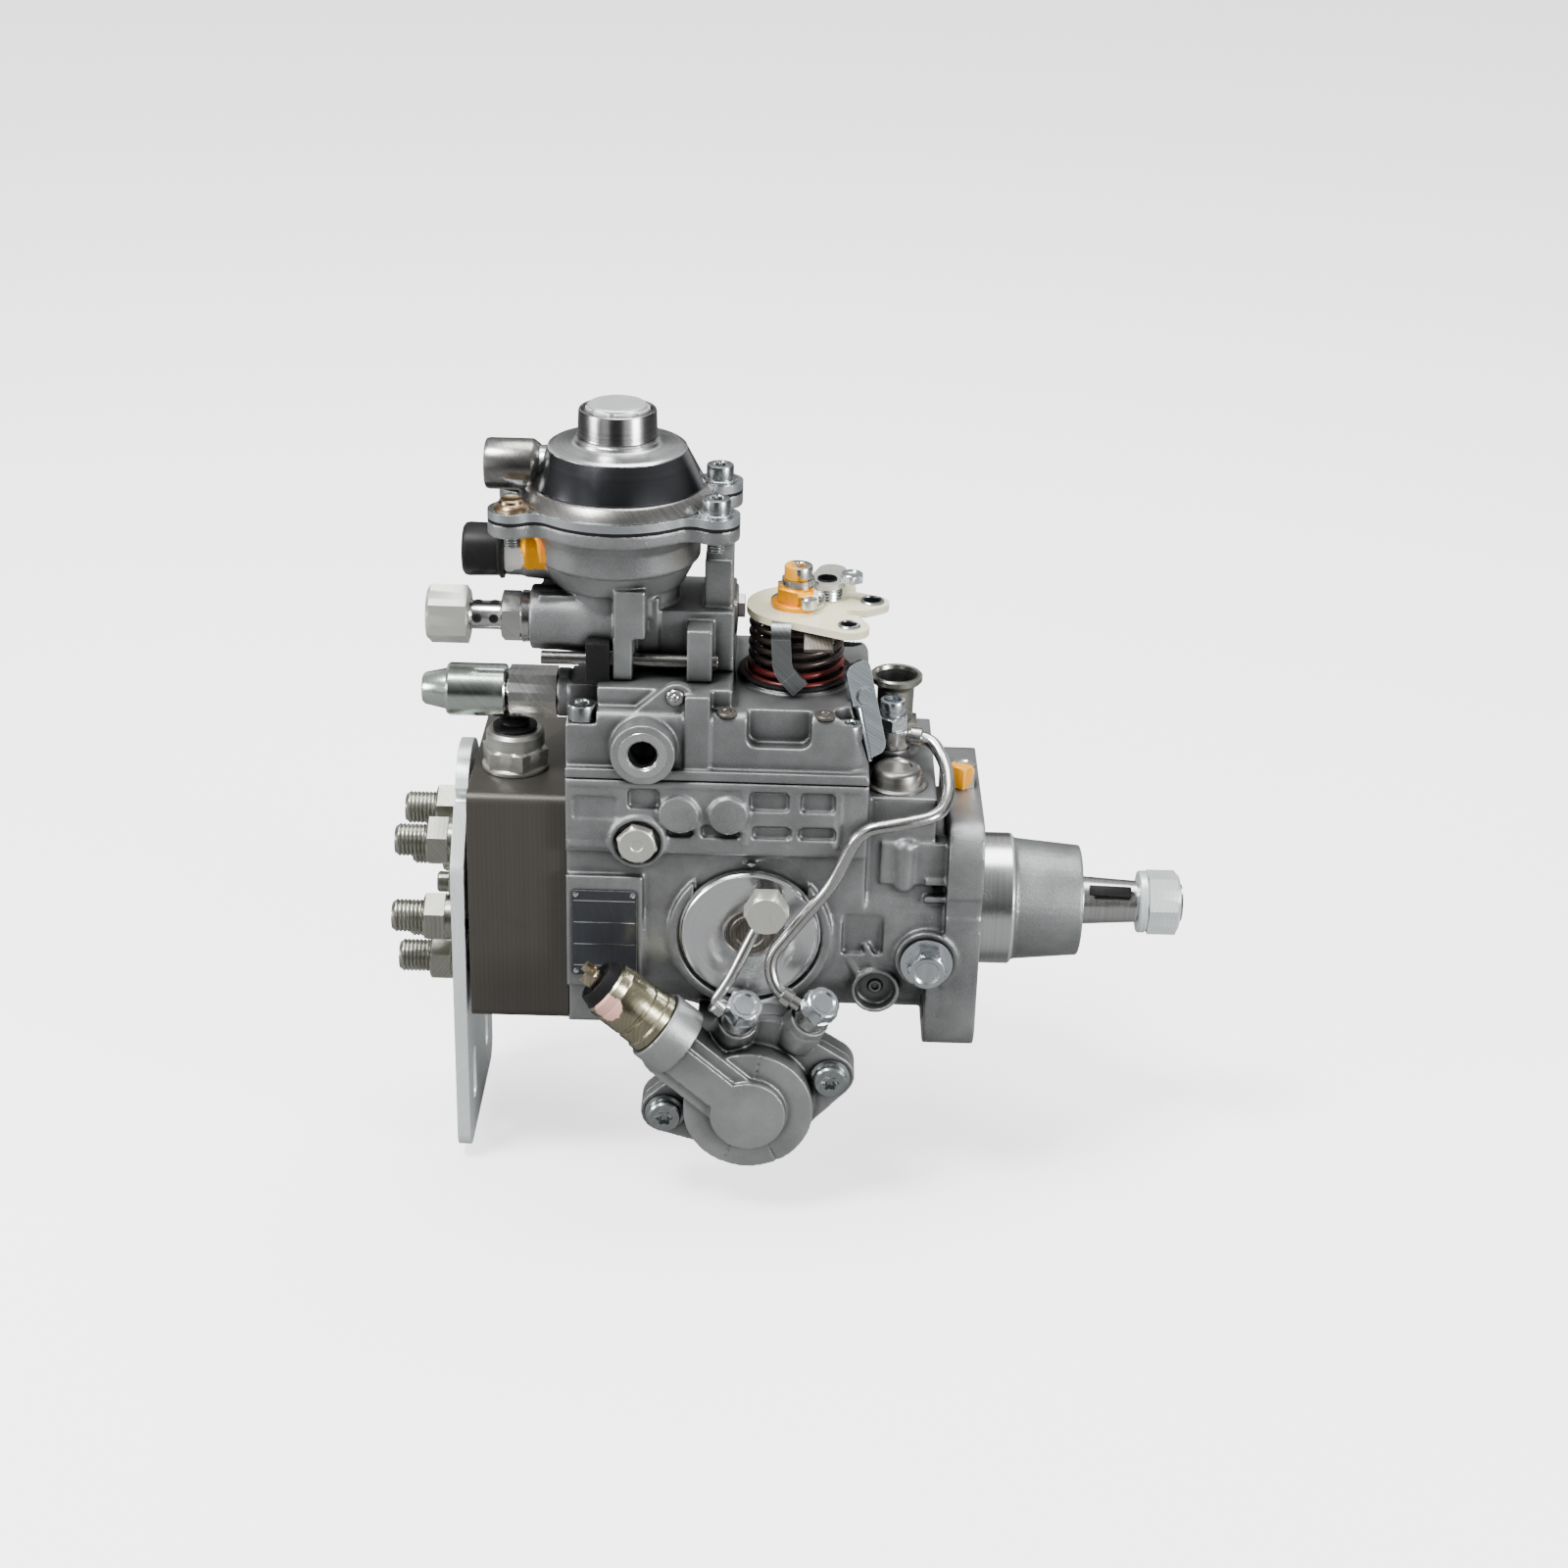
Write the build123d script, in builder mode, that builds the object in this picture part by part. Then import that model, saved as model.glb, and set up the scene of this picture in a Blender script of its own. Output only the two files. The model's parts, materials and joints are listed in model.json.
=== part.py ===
from build123d import *
import os
from math import cos, radians, sin, tan

os.makedirs("parts", exist_ok=True)

# A rotary distributor injection pump for a six-cylinder diesel.
# X runs along the drive shaft towards the engine, Z is up, and -Y is the side with the data plate.
# The origin is where the shaft's axis meets the mounting flange's front face.

# Clearances
fit = 0.05  # radial, for running fits and seated pins
gap = 0.3  # between loose neighbours

# Pump casing
bore_radius = 34.5
half_width = 40.0
barrel_radius = half_width + 2.0
room_half_width = 28.0
gasket_z = 65.0
head_joint_x = -152.0
head_wall_x = head_joint_x + 12.0
cover_end_x = -43.0
room_end_x = cover_end_x - 5.0
flange_thickness = 13.0
leg_thickness = 19.0
shoulder_z = 58.0
shoulder_end_x = -18.0
pilot_radius = 25.0
pilot_length = 14.0
nose_end_x = 40.0
mount_hole_radius = 4.5
mount_square = 31.0

# Shaft and feed pump
journal_radius = 11.0
seal_x = 30.0
feed_bore_radius = 31.0
feed_front_x = -22.0
feed_ring_length = 20.0
feed_plate_thickness = 4.0
feed_back_x = feed_front_x - feed_ring_length - feed_plate_thickness
taper_front_x = 62.0
taper_front_radius = 7.95
taper_back_x = 36.0
taper_back_radius = 9.5
thread_radius = 7.0
nut_flats = 22.0

# Governor drive
gear_module = 1.5
drive_teeth = 43
governor_teeth = 27
gear_x = -60.0
gear_width = 10.0
governor_z = gear_module * (drive_teeth + governor_teeth) / 2
spindle_radius = 4.0
flyweights = 4

# Cam drive
roller_ring_x = -91.0
roller_ring_length = 14.0
roller_radius = 5.5
roller_count_angles = (0, 60, 180, 240)
cam_lobes = 6
cam_lift = 2.5
cam_radius = 25.0
plunger_radius = 6.0

# Timing device, across the pump
timing_x = -83.5
timing_z = -57.7
timing_bore_radius = 14.0
timing_face_y = 52.0

# Throttle, on top of the cover
throttle_x = -70.5
throttle_shaft_radius = 6.0
cover_top_z = 90.0
lever_z = 115.0

# Boost compensator tower
tower_z = 97.0
boost_x = -136.0
diaphragm_z = 154.0
ear_x = 36.0
ear_y = 19.0

# Distributor head
head_end_x = -188.4
outlet_circle = 28.3
outlets = 6
plate_thickness = 5.0

front = Plane.XZ  # looking at the data plate side: x right, z up, normal towards -Y
side = Plane.YZ  # looking from the rear: y, z, normal towards the engine


def cylinder(plane, radius, length, mode=Mode.ADD):
    with BuildSketch(plane) as disc:
        Circle(radius)
    extrude(disc.sketch, amount=length, mode=mode)


def tube(plane, outer, inner, length):
    with BuildSketch(plane) as ring:
        Circle(outer)
        Circle(inner, mode=Mode.SUBTRACT)
    extrude(ring.sketch, amount=length)


def hexagon(plane, across_flats, length, mode=Mode.ADD):
    with BuildSketch(plane) as outline:
        RegularPolygon(across_flats / 2, 6, major_radius=False)
    extrude(outline.sketch, amount=length, mode=mode)


def block(x, y, z, mode=Mode.ADD):
    """A box between two values on each axis."""
    with BuildSketch(Plane.XY.offset(z[0])) as base:
        with Locations(((x[0] + x[1]) / 2, (y[0] + y[1]) / 2)):
            Rectangle(x[1] - x[0], y[1] - y[0])
    extrude(base.sketch, amount=z[1] - z[0], mode=mode)


def cone(plane, start_radius, end_radius, length, mode=Mode.ADD):
    with Locations(plane):
        Cone(start_radius, end_radius, length, align=(Align.CENTER, Align.CENTER, Align.MIN), mode=mode)


def socket_screw(plane, head_radius, head_length, shank_radius, shank_length):
    """A socket-head screw whose head stands on the plane and whose shank goes below it."""
    cylinder(plane, head_radius, head_length)
    cylinder(plane, shank_radius, -shank_length)
    hexagon(plane.offset(head_length), head_radius, -head_length / 2, Mode.SUBTRACT)


def hex_screw(plane, across_flats, head_length, shank_radius, shank_length, washer=0.0):
    """A hexagon screw standing on the plane, on a washer face when one is given."""
    if washer:
        cylinder(plane, washer, 1.5)
    hexagon(plane, across_flats, head_length)
    cylinder(plane, shank_radius, -shank_length)


def screw_hole(plane, radius, depth):
    cylinder(plane, radius + fit, -depth, Mode.SUBTRACT)


def coil(plane, radius, wire, height, turns):
    """A compression spring standing on the plane, in square-drawn wire."""
    with BuildPart() as spring:
        with BuildLine() as path:
            Helix(pitch=height / turns, height=height, radius=radius)
        with BuildSketch(Plane(origin=path.wire() @ 0, z_dir=path.wire() % 0)):
            RegularPolygon(wire / 2, 6)
        sweep(is_frenet=True)
    return plane.location * spring.part


# ---------------------------------------------------------------- casing

panel_y = half_width + 3.0
rim_depth = 5.0
window_x = -84.6
window_z = 2.8
window_radius = 26.5
window_floor_y = half_width - 0.5
corner_screws = ((-146.5, -34.2), (-146.5, 34.2), (-51.0, -34.2), (-51.0, 34.2))
ear_plate_radius = 9.0
timing_ears = ((-114.6, -64.3), (-53.4, -47.2))
timing_boss_radius = 24.0
slide_pin_radius = 4.0
head_half_width = 38.0
head_bottom_z = -37.5
head_top_z = 55.0
head_screw_points = ((-31.0, -30.5), (31.0, -30.5), (-31.0, 44.0), (31.0, 44.0))
lock_bolt = (-19.4, -4.0)
hex_plug = (-126.0, 41.4)
lock_seat_y = 45.0
core_plug = (-37.6, -18.7)
regulator = (-32.5, -25.0)
return_port = (-33.0, 9.0)
pipe_port = (-34.5, -6.5)
port_seat_z = 66.0
flange_stop = (-7.0, 47.5)
upper_pockets = ((-123.8, 11.4), (-78.6, 14.2), (-61.2, 12.5))
lower_pockets = ((-110.6, 9.6), (-96.0, 14.2), (-77.6, 14.2), (-60.7, 14.2))
pocket_depth = 2.0
lever_pin_x = -124.0
lever_pin_z = 30.0
lever_pin_radius = 3.0

with BuildPart() as pump_housing:
    # Barrel, governor room walls and the shoulder over the feed pump
    cylinder(side.offset(head_joint_x), barrel_radius, -flange_thickness - head_joint_x)
    block((head_joint_x, cover_end_x), (-half_width, half_width), (0, gasket_z))
    block((cover_end_x, shoulder_end_x), (-half_width + 3, half_width - 3), (0, shoulder_z))
    block((head_joint_x, head_wall_x), (-head_half_width, head_half_width), (head_bottom_z, 0))
    block((head_joint_x, cover_end_x), (-panel_y, panel_y), (gasket_z - rim_depth, gasket_z))

    # Flange: four lugs joined, the lower pair carried back as a thicker leg
    with BuildSketch(side.offset(-flange_thickness)) as flange_outline:
        with Locations((-mount_square, -mount_square), (mount_square, -mount_square)):
            Circle(13.5)
        with Locations((-mount_square, 35), (mount_square, 35)):
            Circle(12.5)
        make_hull()
        with Locations((-46, 17), (46, 17)):
            Rectangle(6, 8, mode=Mode.SUBTRACT)
    extrude(amount=flange_thickness)
    with BuildSketch(side.offset(-leg_thickness)) as leg_outline:
        with Locations((-mount_square, -mount_square), (mount_square, -mount_square)):
            Circle(13.5)
        with Locations((-32, -6), (32, -6)):
            Circle(11)
        make_hull()
    extrude(amount=leg_thickness - flange_thickness)

    # Pilot and the cast nose round the shaft
    cylinder(side, pilot_radius, pilot_length)
    cone(side.offset(pilot_length), 23.3, 21.0, nose_end_x - pilot_length)

    # Window boss, upper band and the pads of the plate side
    with BuildSketch(front.offset(20)) as window_boss:
        with Locations((window_x, window_z)):
            Circle(window_radius + 3.5)
    extrude(amount=panel_y - 20)
    block((head_joint_x, cover_end_x), (-panel_y, -half_width), (36.0, gasket_z - rim_depth))
    block((head_joint_x, head_joint_x + 28), (-panel_y, -half_width + 3), (-20.0, 26.0))
    with BuildSketch(front.offset(half_width - 4)) as pads:
        with Locations(hex_plug):
            Circle(10.5)
        with Locations(core_plug):
            Circle(9)
    extrude(amount=panel_y - half_width + 4)
    with BuildSketch(front.offset(half_width - 8)) as lock_boss:
        with Locations(lock_bolt):
            Circle(11.5)
    extrude(amount=lock_seat_y - half_width + 8)

    # Timing bore across the bottom, with an eared face at each end
    with BuildSketch(front.offset(-timing_face_y)) as timing_boss:
        with Locations((timing_x, timing_z)):
            Circle(timing_boss_radius - 4)
        with Locations((timing_x, timing_z + 12)):
            Rectangle(2 * timing_boss_radius - 8, 24)
    extrude(amount=2 * timing_face_y)
    for face_y in (-timing_face_y, timing_face_y - 8):
        with BuildSketch(front.offset(face_y)) as ear_face:
            with Locations((timing_x, timing_z)):
                Circle(timing_boss_radius)
            with Locations(timing_ears):
                Circle(ear_plate_radius)
            with Locations((timing_x + 6, -38.0)):
                Circle(14)
            make_hull()
        extrude(amount=8)

    # Seats on the shoulder for the regulating valve and the return fittings
    with BuildSketch(Plane.XY.offset(shoulder_z)) as shoulder_seats:
        with Locations(regulator):
            Circle(10)
    extrude(amount=1.0)
    with BuildSketch(Plane.XY.offset(shoulder_z)) as port_seats:
        with Locations(return_port):
            Circle(8.5)
        with Locations(pipe_port):
            Circle(7)
    extrude(amount=port_seat_z - shoulder_z)

    # Shaft bore, feed pump bore, cam bore and the governor room over them
    cylinder(side.offset(feed_front_x), journal_radius + fit, nose_end_x - feed_front_x, Mode.SUBTRACT)
    cylinder(side.offset(seal_x), journal_radius + 4 + fit, nose_end_x - seal_x, Mode.SUBTRACT)
    cylinder(side.offset(feed_back_x), feed_bore_radius + fit, feed_front_x - feed_back_x, Mode.SUBTRACT)
    cylinder(side.offset(head_joint_x), bore_radius + fit, feed_back_x - head_joint_x, Mode.SUBTRACT)
    block((head_wall_x, room_end_x), (-room_half_width, room_half_width), (0, gasket_z), Mode.SUBTRACT)
    with BuildSketch(side.offset(-20)) as spindle_bore:
        with Locations((0, governor_z)):
            Circle(spindle_radius + fit)
    extrude(amount=room_end_x + 20, mode=Mode.SUBTRACT)
    with BuildSketch(front.offset(-37)) as lever_bore:
        with Locations((lever_pin_x, lever_pin_z)):
            Circle(lever_pin_radius + fit)
    extrude(amount=74, mode=Mode.SUBTRACT)

    # Timing bore and the slot through which the slide pin reaches the piston
    with BuildSketch(front.offset(-timing_face_y)) as timing_bore:
        with Locations((timing_x, timing_z)):
            Circle(timing_bore_radius + fit)
    extrude(amount=2 * timing_face_y, mode=Mode.SUBTRACT)
    pin_slot_x = slide_pin_radius + 0.6
    block((timing_x - pin_slot_x, timing_x + pin_slot_x), (-10, 10), (timing_z, 0), Mode.SUBTRACT)

    # Window recess with its two-lobed upper edge
    with BuildSketch(front.offset(window_floor_y)) as window_recess:
        with Locations((window_x, window_z)):
            Circle(window_radius)
        with Locations((window_x - 9, window_z + 20), (window_x + 9, window_z + 20)):
            Circle(12)
    extrude(amount=panel_y - window_floor_y, mode=Mode.SUBTRACT)

    # Lightening pockets in two rows of the upper band, and two discs standing over them
    with BuildSketch(front.offset(panel_y)) as pockets:
        for x, width in upper_pockets:
            with Locations((x, 57.5)):
                RectangleRounded(width, 7.5, 1.5)
        for x, width in lower_pockets:
            with Locations((x, 45.2)):
                RectangleRounded(width, 5, 1.5)
    extrude(amount=-pocket_depth, mode=Mode.SUBTRACT)
    with BuildSketch(front.offset(panel_y)) as end_panel:
        with Locations((-141.4, 53.5)):
            RectangleRounded(17, 9.5, 1.5)
    extrude(amount=-1.0, mode=Mode.SUBTRACT)
    with BuildSketch(front.offset(panel_y - pocket_depth)) as discs:
        with Locations((-110.6, 51.7), (-93.0, 52.3)):
            Circle(7)
    extrude(amount=pocket_depth + 1.0)
    block((-50.7, -35.6), (-barrel_radius - 1, -barrel_radius + 2.5), (-3.8, 12.1), Mode.SUBTRACT)

    # Screw holes: flange, head joint, cover, timing faces and the plugs
    with BuildSketch(side.offset(-34)) as nut_pockets:
        with GridLocations(2 * mount_square, 2 * mount_square, 2, 2):
            Circle(8.2)
    extrude(amount=34 - leg_thickness, mode=Mode.SUBTRACT)
    with BuildSketch(side.offset(-leg_thickness)) as upper_pockets:
        with Locations((-mount_square, mount_square), (mount_square, mount_square)):
            Circle(8.2)
    extrude(amount=leg_thickness - flange_thickness, mode=Mode.SUBTRACT)
    with BuildSketch(side.offset(-leg_thickness)) as mount_holes:
        with GridLocations(2 * mount_square, 2 * mount_square, 2, 2):
            Circle(mount_hole_radius)
    extrude(amount=leg_thickness, mode=Mode.SUBTRACT)
    for y, z in head_screw_points:
        screw_hole(Plane((head_joint_x + 10, y, z), z_dir=(1, 0, 0)), 3, 10)
    for x, y in corner_screws:
        screw_hole(Plane.XY.offset(gasket_z).shift_origin((x, y, gasket_z)), 3, 13)
    for x, z in timing_ears:
        for face_y, out in ((-timing_face_y, -1), (timing_face_y, 1)):
            screw_hole(Plane((x, face_y, z), z_dir=(0, out, 0)), 3, 12)
    screw_hole(Plane((lock_bolt[0], -lock_seat_y, lock_bolt[1]), z_dir=(0, -1, 0)), 5, 9)
    screw_hole(Plane((hex_plug[0], -panel_y, hex_plug[1]), z_dir=(0, -1, 0)), 6, 8)
    screw_hole(Plane((core_plug[0], -panel_y, core_plug[1]), z_dir=(0, -1, 0)), 7.5, 5)
    screw_hole(Plane((regulator[0], regulator[1], shoulder_z + 1), z_dir=(0, 0, 1)), 6, 16)
    screw_hole(Plane((return_port[0], return_port[1], port_seat_z), z_dir=(0, 0, 1)), 4.5, 14)
    screw_hole(Plane((pipe_port[0], pipe_port[1], port_seat_z), z_dir=(0, 0, 1)), 3, 12)
    screw_hole(Plane((flange_stop[0], 0, flange_stop[1]), z_dir=(0, 0, 1)), 3, 8)
pump_housing.part.label = "pump_housing"
export_step(pump_housing.part, "parts/pump_housing.step")


# ---------------------------------------------------------------- drive shaft and feed pump

with BuildPart() as drive_shaft:
    cylinder(side.offset(gear_x), journal_radius - 1, feed_front_x - gear_x)
    cylinder(side.offset(feed_front_x), journal_radius, seal_x - feed_front_x)
    cylinder(side.offset(seal_x), journal_radius - 1, taper_back_x - seal_x)
    cone(side.offset(taper_back_x), taper_back_radius, taper_front_radius, taper_front_x - taper_back_x)
    cylinder(side.offset(taper_front_x), thread_radius, 17)
    cylinder(side.offset(gear_x - 4), journal_radius + 2, 4)
    claw_back_x = -79.0
    for y in (-11.5, 11.5):
        block((claw_back_x, gear_x - 4), (y - 3.5, y + 3.5), (-5, 5))
    key_slot = Plane((53, 0, 0), x_dir=(1, 0, 0), z_dir=(0, -cos(radians(40)), sin(radians(40))))
    with BuildSketch(key_slot.offset(6.0)) as nose_keyway:
        SlotOverall(16, 4.5)
    extrude(amount=6, mode=Mode.SUBTRACT)
    with BuildSketch(Plane.XY.offset(8)) as rotor_keyway:
        with Locations((feed_front_x - 10, 0)):
            Rectangle(12, 4)
    extrude(amount=4, mode=Mode.SUBTRACT)
drive_shaft.part.label = "drive_shaft"
export_step(drive_shaft.part, "parts/drive_shaft.step")

with BuildPart() as shaft_key:
    block((feed_front_x - 16, feed_front_x - 4), (-2, 2), (8, 12.5))
shaft_key.part.label = "shaft_key"
export_step(shaft_key.part, "parts/shaft_key.step")

with BuildPart() as shaft_nut:
    tube(side.offset(62.7), 11.8, thread_radius + fit, 3.0)
    with BuildSketch(side.offset(66.0)) as nut_outline:
        RegularPolygon(nut_flats / 2, 6, major_radius=False)
        Circle(thread_radius + fit, mode=Mode.SUBTRACT)
    extrude(amount=12.4)
    tube(side.offset(65.7), 9.5, thread_radius + fit, 0.3)
shaft_nut.part.label = "shaft_nut"
export_step(shaft_nut.part, "parts/shaft_nut.step")

with BuildPart() as shaft_seal:
    tube(side.offset(seal_x), journal_radius + 4, journal_radius - 1 + fit, 7)
    tube(side.offset(seal_x + 7), journal_radius + 4, journal_radius + 1, 1.5)
shaft_seal.part.label = "shaft_seal"
export_step(shaft_seal.part, "parts/shaft_seal.step")

rotor_radius = 22.9
vane_tip_radius = 23.3
ring_offset = 2.5
with BuildPart() as cam_ring:
    with BuildSketch(side.offset(feed_front_x - feed_ring_length)):
        Circle(feed_bore_radius)
        with Locations((ring_offset, 0)):
            Circle(rotor_radius + ring_offset + 0.6, mode=Mode.SUBTRACT)
        with Locations((0, 28.7), (0, -28.7)):
            Circle(1.3, mode=Mode.SUBTRACT)
    extrude(amount=feed_ring_length)
cam_ring.part.label = "cam_ring"
export_step(cam_ring.part, "parts/cam_ring.step")

with BuildPart() as vane_rotor:
    rotor_x = feed_front_x - feed_ring_length + 0.2
    with BuildSketch(side.offset(rotor_x)):
        Circle(rotor_radius)
        Circle(journal_radius - 1 + fit, mode=Mode.SUBTRACT)
        with PolarLocations(18.5, 4, start_angle=45):
            Rectangle(10, 2.2, mode=Mode.SUBTRACT)
        with Locations((0, 11)):
            Rectangle(4.1, 3.2, mode=Mode.SUBTRACT)
    extrude(amount=feed_ring_length - 0.4)
    with BuildSketch(side.offset(rotor_x)) as vanes:
        with PolarLocations((vane_tip_radius + 14) / 2, 4, start_angle=45):
            Rectangle(vane_tip_radius - 14, 2)
    extrude(amount=feed_ring_length - 0.4)
vane_rotor.part.label = "vane_rotor"
export_step(vane_rotor.part, "parts/vane_rotor.step")

with BuildPart() as pump_plate:
    with BuildSketch(side.offset(feed_back_x)):
        Circle(feed_bore_radius)
        Circle(journal_radius, mode=Mode.SUBTRACT)
        with Locations((18, 18), (-18, -18)):
            SlotOverall(14, 5, mode=Mode.SUBTRACT)
    extrude(amount=feed_plate_thickness)
pump_plate.part.label = "pump_plate"
export_step(pump_plate.part, "parts/pump_plate.step")


def gear_disc(plane, teeth, bore, width):
    """Straight-sided teeth of the shared module, the first one pointing up."""
    pitch_radius = gear_module * teeth / 2
    root_radius = pitch_radius - 1.25 * gear_module
    tip_radius = pitch_radius + 0.9 * gear_module
    with BuildSketch(plane) as outline:
        Circle(root_radius)
        with PolarLocations(0, teeth, start_angle=90):
            with BuildLine():
                Polyline(
                    (root_radius - 0.4, -1.55),
                    (pitch_radius, -1.0),
                    (tip_radius, -0.4),
                    (tip_radius, 0.4),
                    (pitch_radius, 1.0),
                    (root_radius - 0.4, 1.55),
                    close=True,
                )
            make_face()
        Circle(bore, mode=Mode.SUBTRACT)
    extrude(outline.sketch, amount=width)


with BuildPart() as drive_gear:
    gear_disc(side.offset(gear_x), drive_teeth, journal_radius - 1 + fit, gear_width)
    with BuildSketch(side.offset(gear_x)):
        with PolarLocations(20, 6):
            Circle(5)
    extrude(amount=gear_width, mode=Mode.SUBTRACT)
drive_gear.part.label = "drive_gear"
export_step(drive_gear.part, "parts/drive_gear.step")

# ---------------------------------------------------------------- cam drive and plunger

claw_gap = 0.1
with BuildPart() as cross_disc:
    tube(side.offset(-86), 15.5, 4, 14)
    for y in (-12.4, 12.4):
        block((claw_back_x - claw_gap, -72), (y - 4.5, y + 4.5), (-5.1, 5.1), Mode.SUBTRACT)
    for z in (-12.4, 12.4):
        block((-86, -79.8), (-5.1, 5.1), (z - 4.5, z + 4.5), Mode.SUBTRACT)
cross_disc.part.label = "cross_disc"
export_step(cross_disc.part, "parts/cross_disc.step")

roller_x = roller_ring_x + 1.0
cam_front_x = roller_x - roller_radius - fit
cam_base_x = cam_front_x - cam_lift
cam_back_x = cam_base_x - 4.0
with BuildPart() as cam_plate:
    cylinder(side.offset(cam_back_x), cam_radius, cam_base_x - cam_back_x)
    for lobe in range(cam_lobes):
        angle = radians(360 / cam_lobes * lobe)
        radial = Vector(0, cos(angle), sin(angle))
        with BuildSketch(Plane(radial * cam_radius * 0.96, x_dir=(1, 0, 0), z_dir=radial)):
            with BuildLine():
                Polyline(
                    (cam_base_x - 1, -10),
                    (cam_base_x, -9),
                    (cam_front_x, -2.5),
                    (cam_front_x, 2.5),
                    (cam_base_x, 9),
                    (cam_base_x - 1, 10),
                    close=True,
                )
            make_face()
        extrude(amount=-8)
    for z in (-11.5, 11.5):
        block((cam_base_x, -80), (-5, 5), (z - 3.5, z + 3.5))
cam_plate.part.label = "cam_plate"
export_step(cam_plate.part, "parts/cam_plate.step")

with BuildPart() as roller_ring:
    tube(side.offset(roller_ring_x), bore_radius, 17, roller_ring_length)
    for angle in roller_count_angles:
        radial = Vector(0, cos(radians(angle)), sin(radians(angle)))
        cylinder(
            Plane(radial * 18.5 + Vector(roller_x, 0, 0), z_dir=radial), roller_radius + 0.1, 12.5, Mode.SUBTRACT
        )
        cylinder(Plane(radial * 14 + Vector(roller_x, 0, 0), z_dir=radial), 2.05, 22.5, Mode.SUBTRACT)
    cylinder(
        Plane((timing_x, 0, -bore_radius + 1.5), z_dir=(0, 0, -1)), slide_pin_radius, -timing_z - 30.0
    )
roller_ring.part.label = "roller_ring"
export_step(roller_ring.part, "parts/roller_ring.step")

with BuildPart() as cam_rollers:
    for angle in roller_count_angles:
        radial = Vector(0, cos(radians(angle)), sin(radians(angle)))
        roller_plane = Plane(radial * 18.7 + Vector(roller_x, 0, 0), z_dir=radial)
        tube(roller_plane, roller_radius, 2.1, 12)
        cylinder(roller_plane.offset(-1.2), 2.0, 15)
cam_rollers.part.label = "cam_rollers"
export_step(cam_rollers.part, "parts/cam_rollers.step")

plunger_end_x = -166.0
with BuildPart() as plunger:
    cylinder(side.offset(cam_back_x - 3), 9, 3)
    cylinder(side.offset(plunger_end_x), plunger_radius, cam_back_x - 3 - plunger_end_x)
    block((plunger_end_x, plunger_end_x + 7), (-1, 1), (4.5, 8), Mode.SUBTRACT)
    cylinder(side.offset(plunger_end_x), 1.5, 44, Mode.SUBTRACT)
    cylinder(Plane((-122.0, 0, 0), z_dir=(0, 1, 0)).offset(-8), 1.2, 16, Mode.SUBTRACT)
plunger.part.label = "plunger"
export_step(plunger.part, "parts/plunger.step")

collar_x = lever_pin_x
collar_radius = 12.0
lever_ball_z = 9.0
with BuildPart() as control_collar:
    tube(side.offset(collar_x - 4), collar_radius, plunger_radius + fit, 8)
    cylinder(Plane((collar_x, 0, 3)), 3.0, 10, Mode.SUBTRACT)
control_collar.part.label = "control_collar"
export_step(control_collar.part, "parts/control_collar.step")

yoke_x = cam_back_x - 3 - gap
spring_pitch_y = 20.5
spring_seat_x = head_joint_x + 11.0
with BuildPart() as plunger_springs:
    with BuildSketch(side.offset(yoke_x - 3)):
        with Locations((-spring_pitch_y, 0), (spring_pitch_y, 0)):
            Circle(6.5)
        make_hull()
        Circle(plunger_radius + 1, mode=Mode.SUBTRACT)
    extrude(amount=3)
    for y in (-spring_pitch_y, spring_pitch_y):
        spring_height = yoke_x - 3 - spring_seat_x - 2.4
        add(coil(Plane((spring_seat_x + 1.2, y, 0), z_dir=(1, 0, 0)), 5.0, 1.6, spring_height, 4))
        cylinder(Plane((spring_seat_x, y, 0), z_dir=(1, 0, 0)), 3.0, 20)
plunger_springs.part.label = "plunger_springs"
export_step(plunger_springs.part, "parts/plunger_springs.step")

# ---------------------------------------------------------------- governor

governor_side = Plane((0, 0, governor_z), x_dir=(0, 1, 0), z_dir=(1, 0, 0))
cage_end_x = -76.0
cage_radius = 20.8
weight_pivot_x = gear_x - 4.0
weight_pivot_r = 13.0
weight_half_width = 7.2
finger_half_width = 3.5
sleeve_front_x = -66.5
sleeve_back_x = -110.0
sleeve_radius = 7.0

with BuildPart() as governor_spindle:
    cylinder(governor_side.offset(-100), spindle_radius, 80)
governor_spindle.part.label = "governor_spindle"
export_step(governor_spindle.part, "parts/governor_spindle.step")

with BuildPart() as governor_cage:
    gear_disc(governor_side.offset(gear_x), governor_teeth, spindle_radius + fit, gear_width)
    tube(governor_side.offset(cage_end_x), cage_radius, 9.0, gear_x - cage_end_x)
    with BuildSketch(governor_side.offset(cage_end_x)) as weight_pockets:
        with PolarLocations(15, flyweights):
            Rectangle(24, 2 * weight_half_width + 0.6)
    extrude(amount=gear_x - cage_end_x - 0.5, mode=Mode.SUBTRACT)
    for turn in range(flyweights):
        angle = radians(90 * turn)
        radial = Vector(0, cos(angle), sin(angle))
        tangent = Vector(0, -sin(angle), cos(angle))
        centre = Vector(weight_pivot_x, 0, governor_z) + radial * weight_pivot_r - tangent * 10.5
        cylinder(Plane(centre, z_dir=tangent), 1.5 + fit, 21, Mode.SUBTRACT)
governor_cage.part.label = "governor_cage"
export_step(governor_cage.part, "parts/governor_cage.step")

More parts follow.
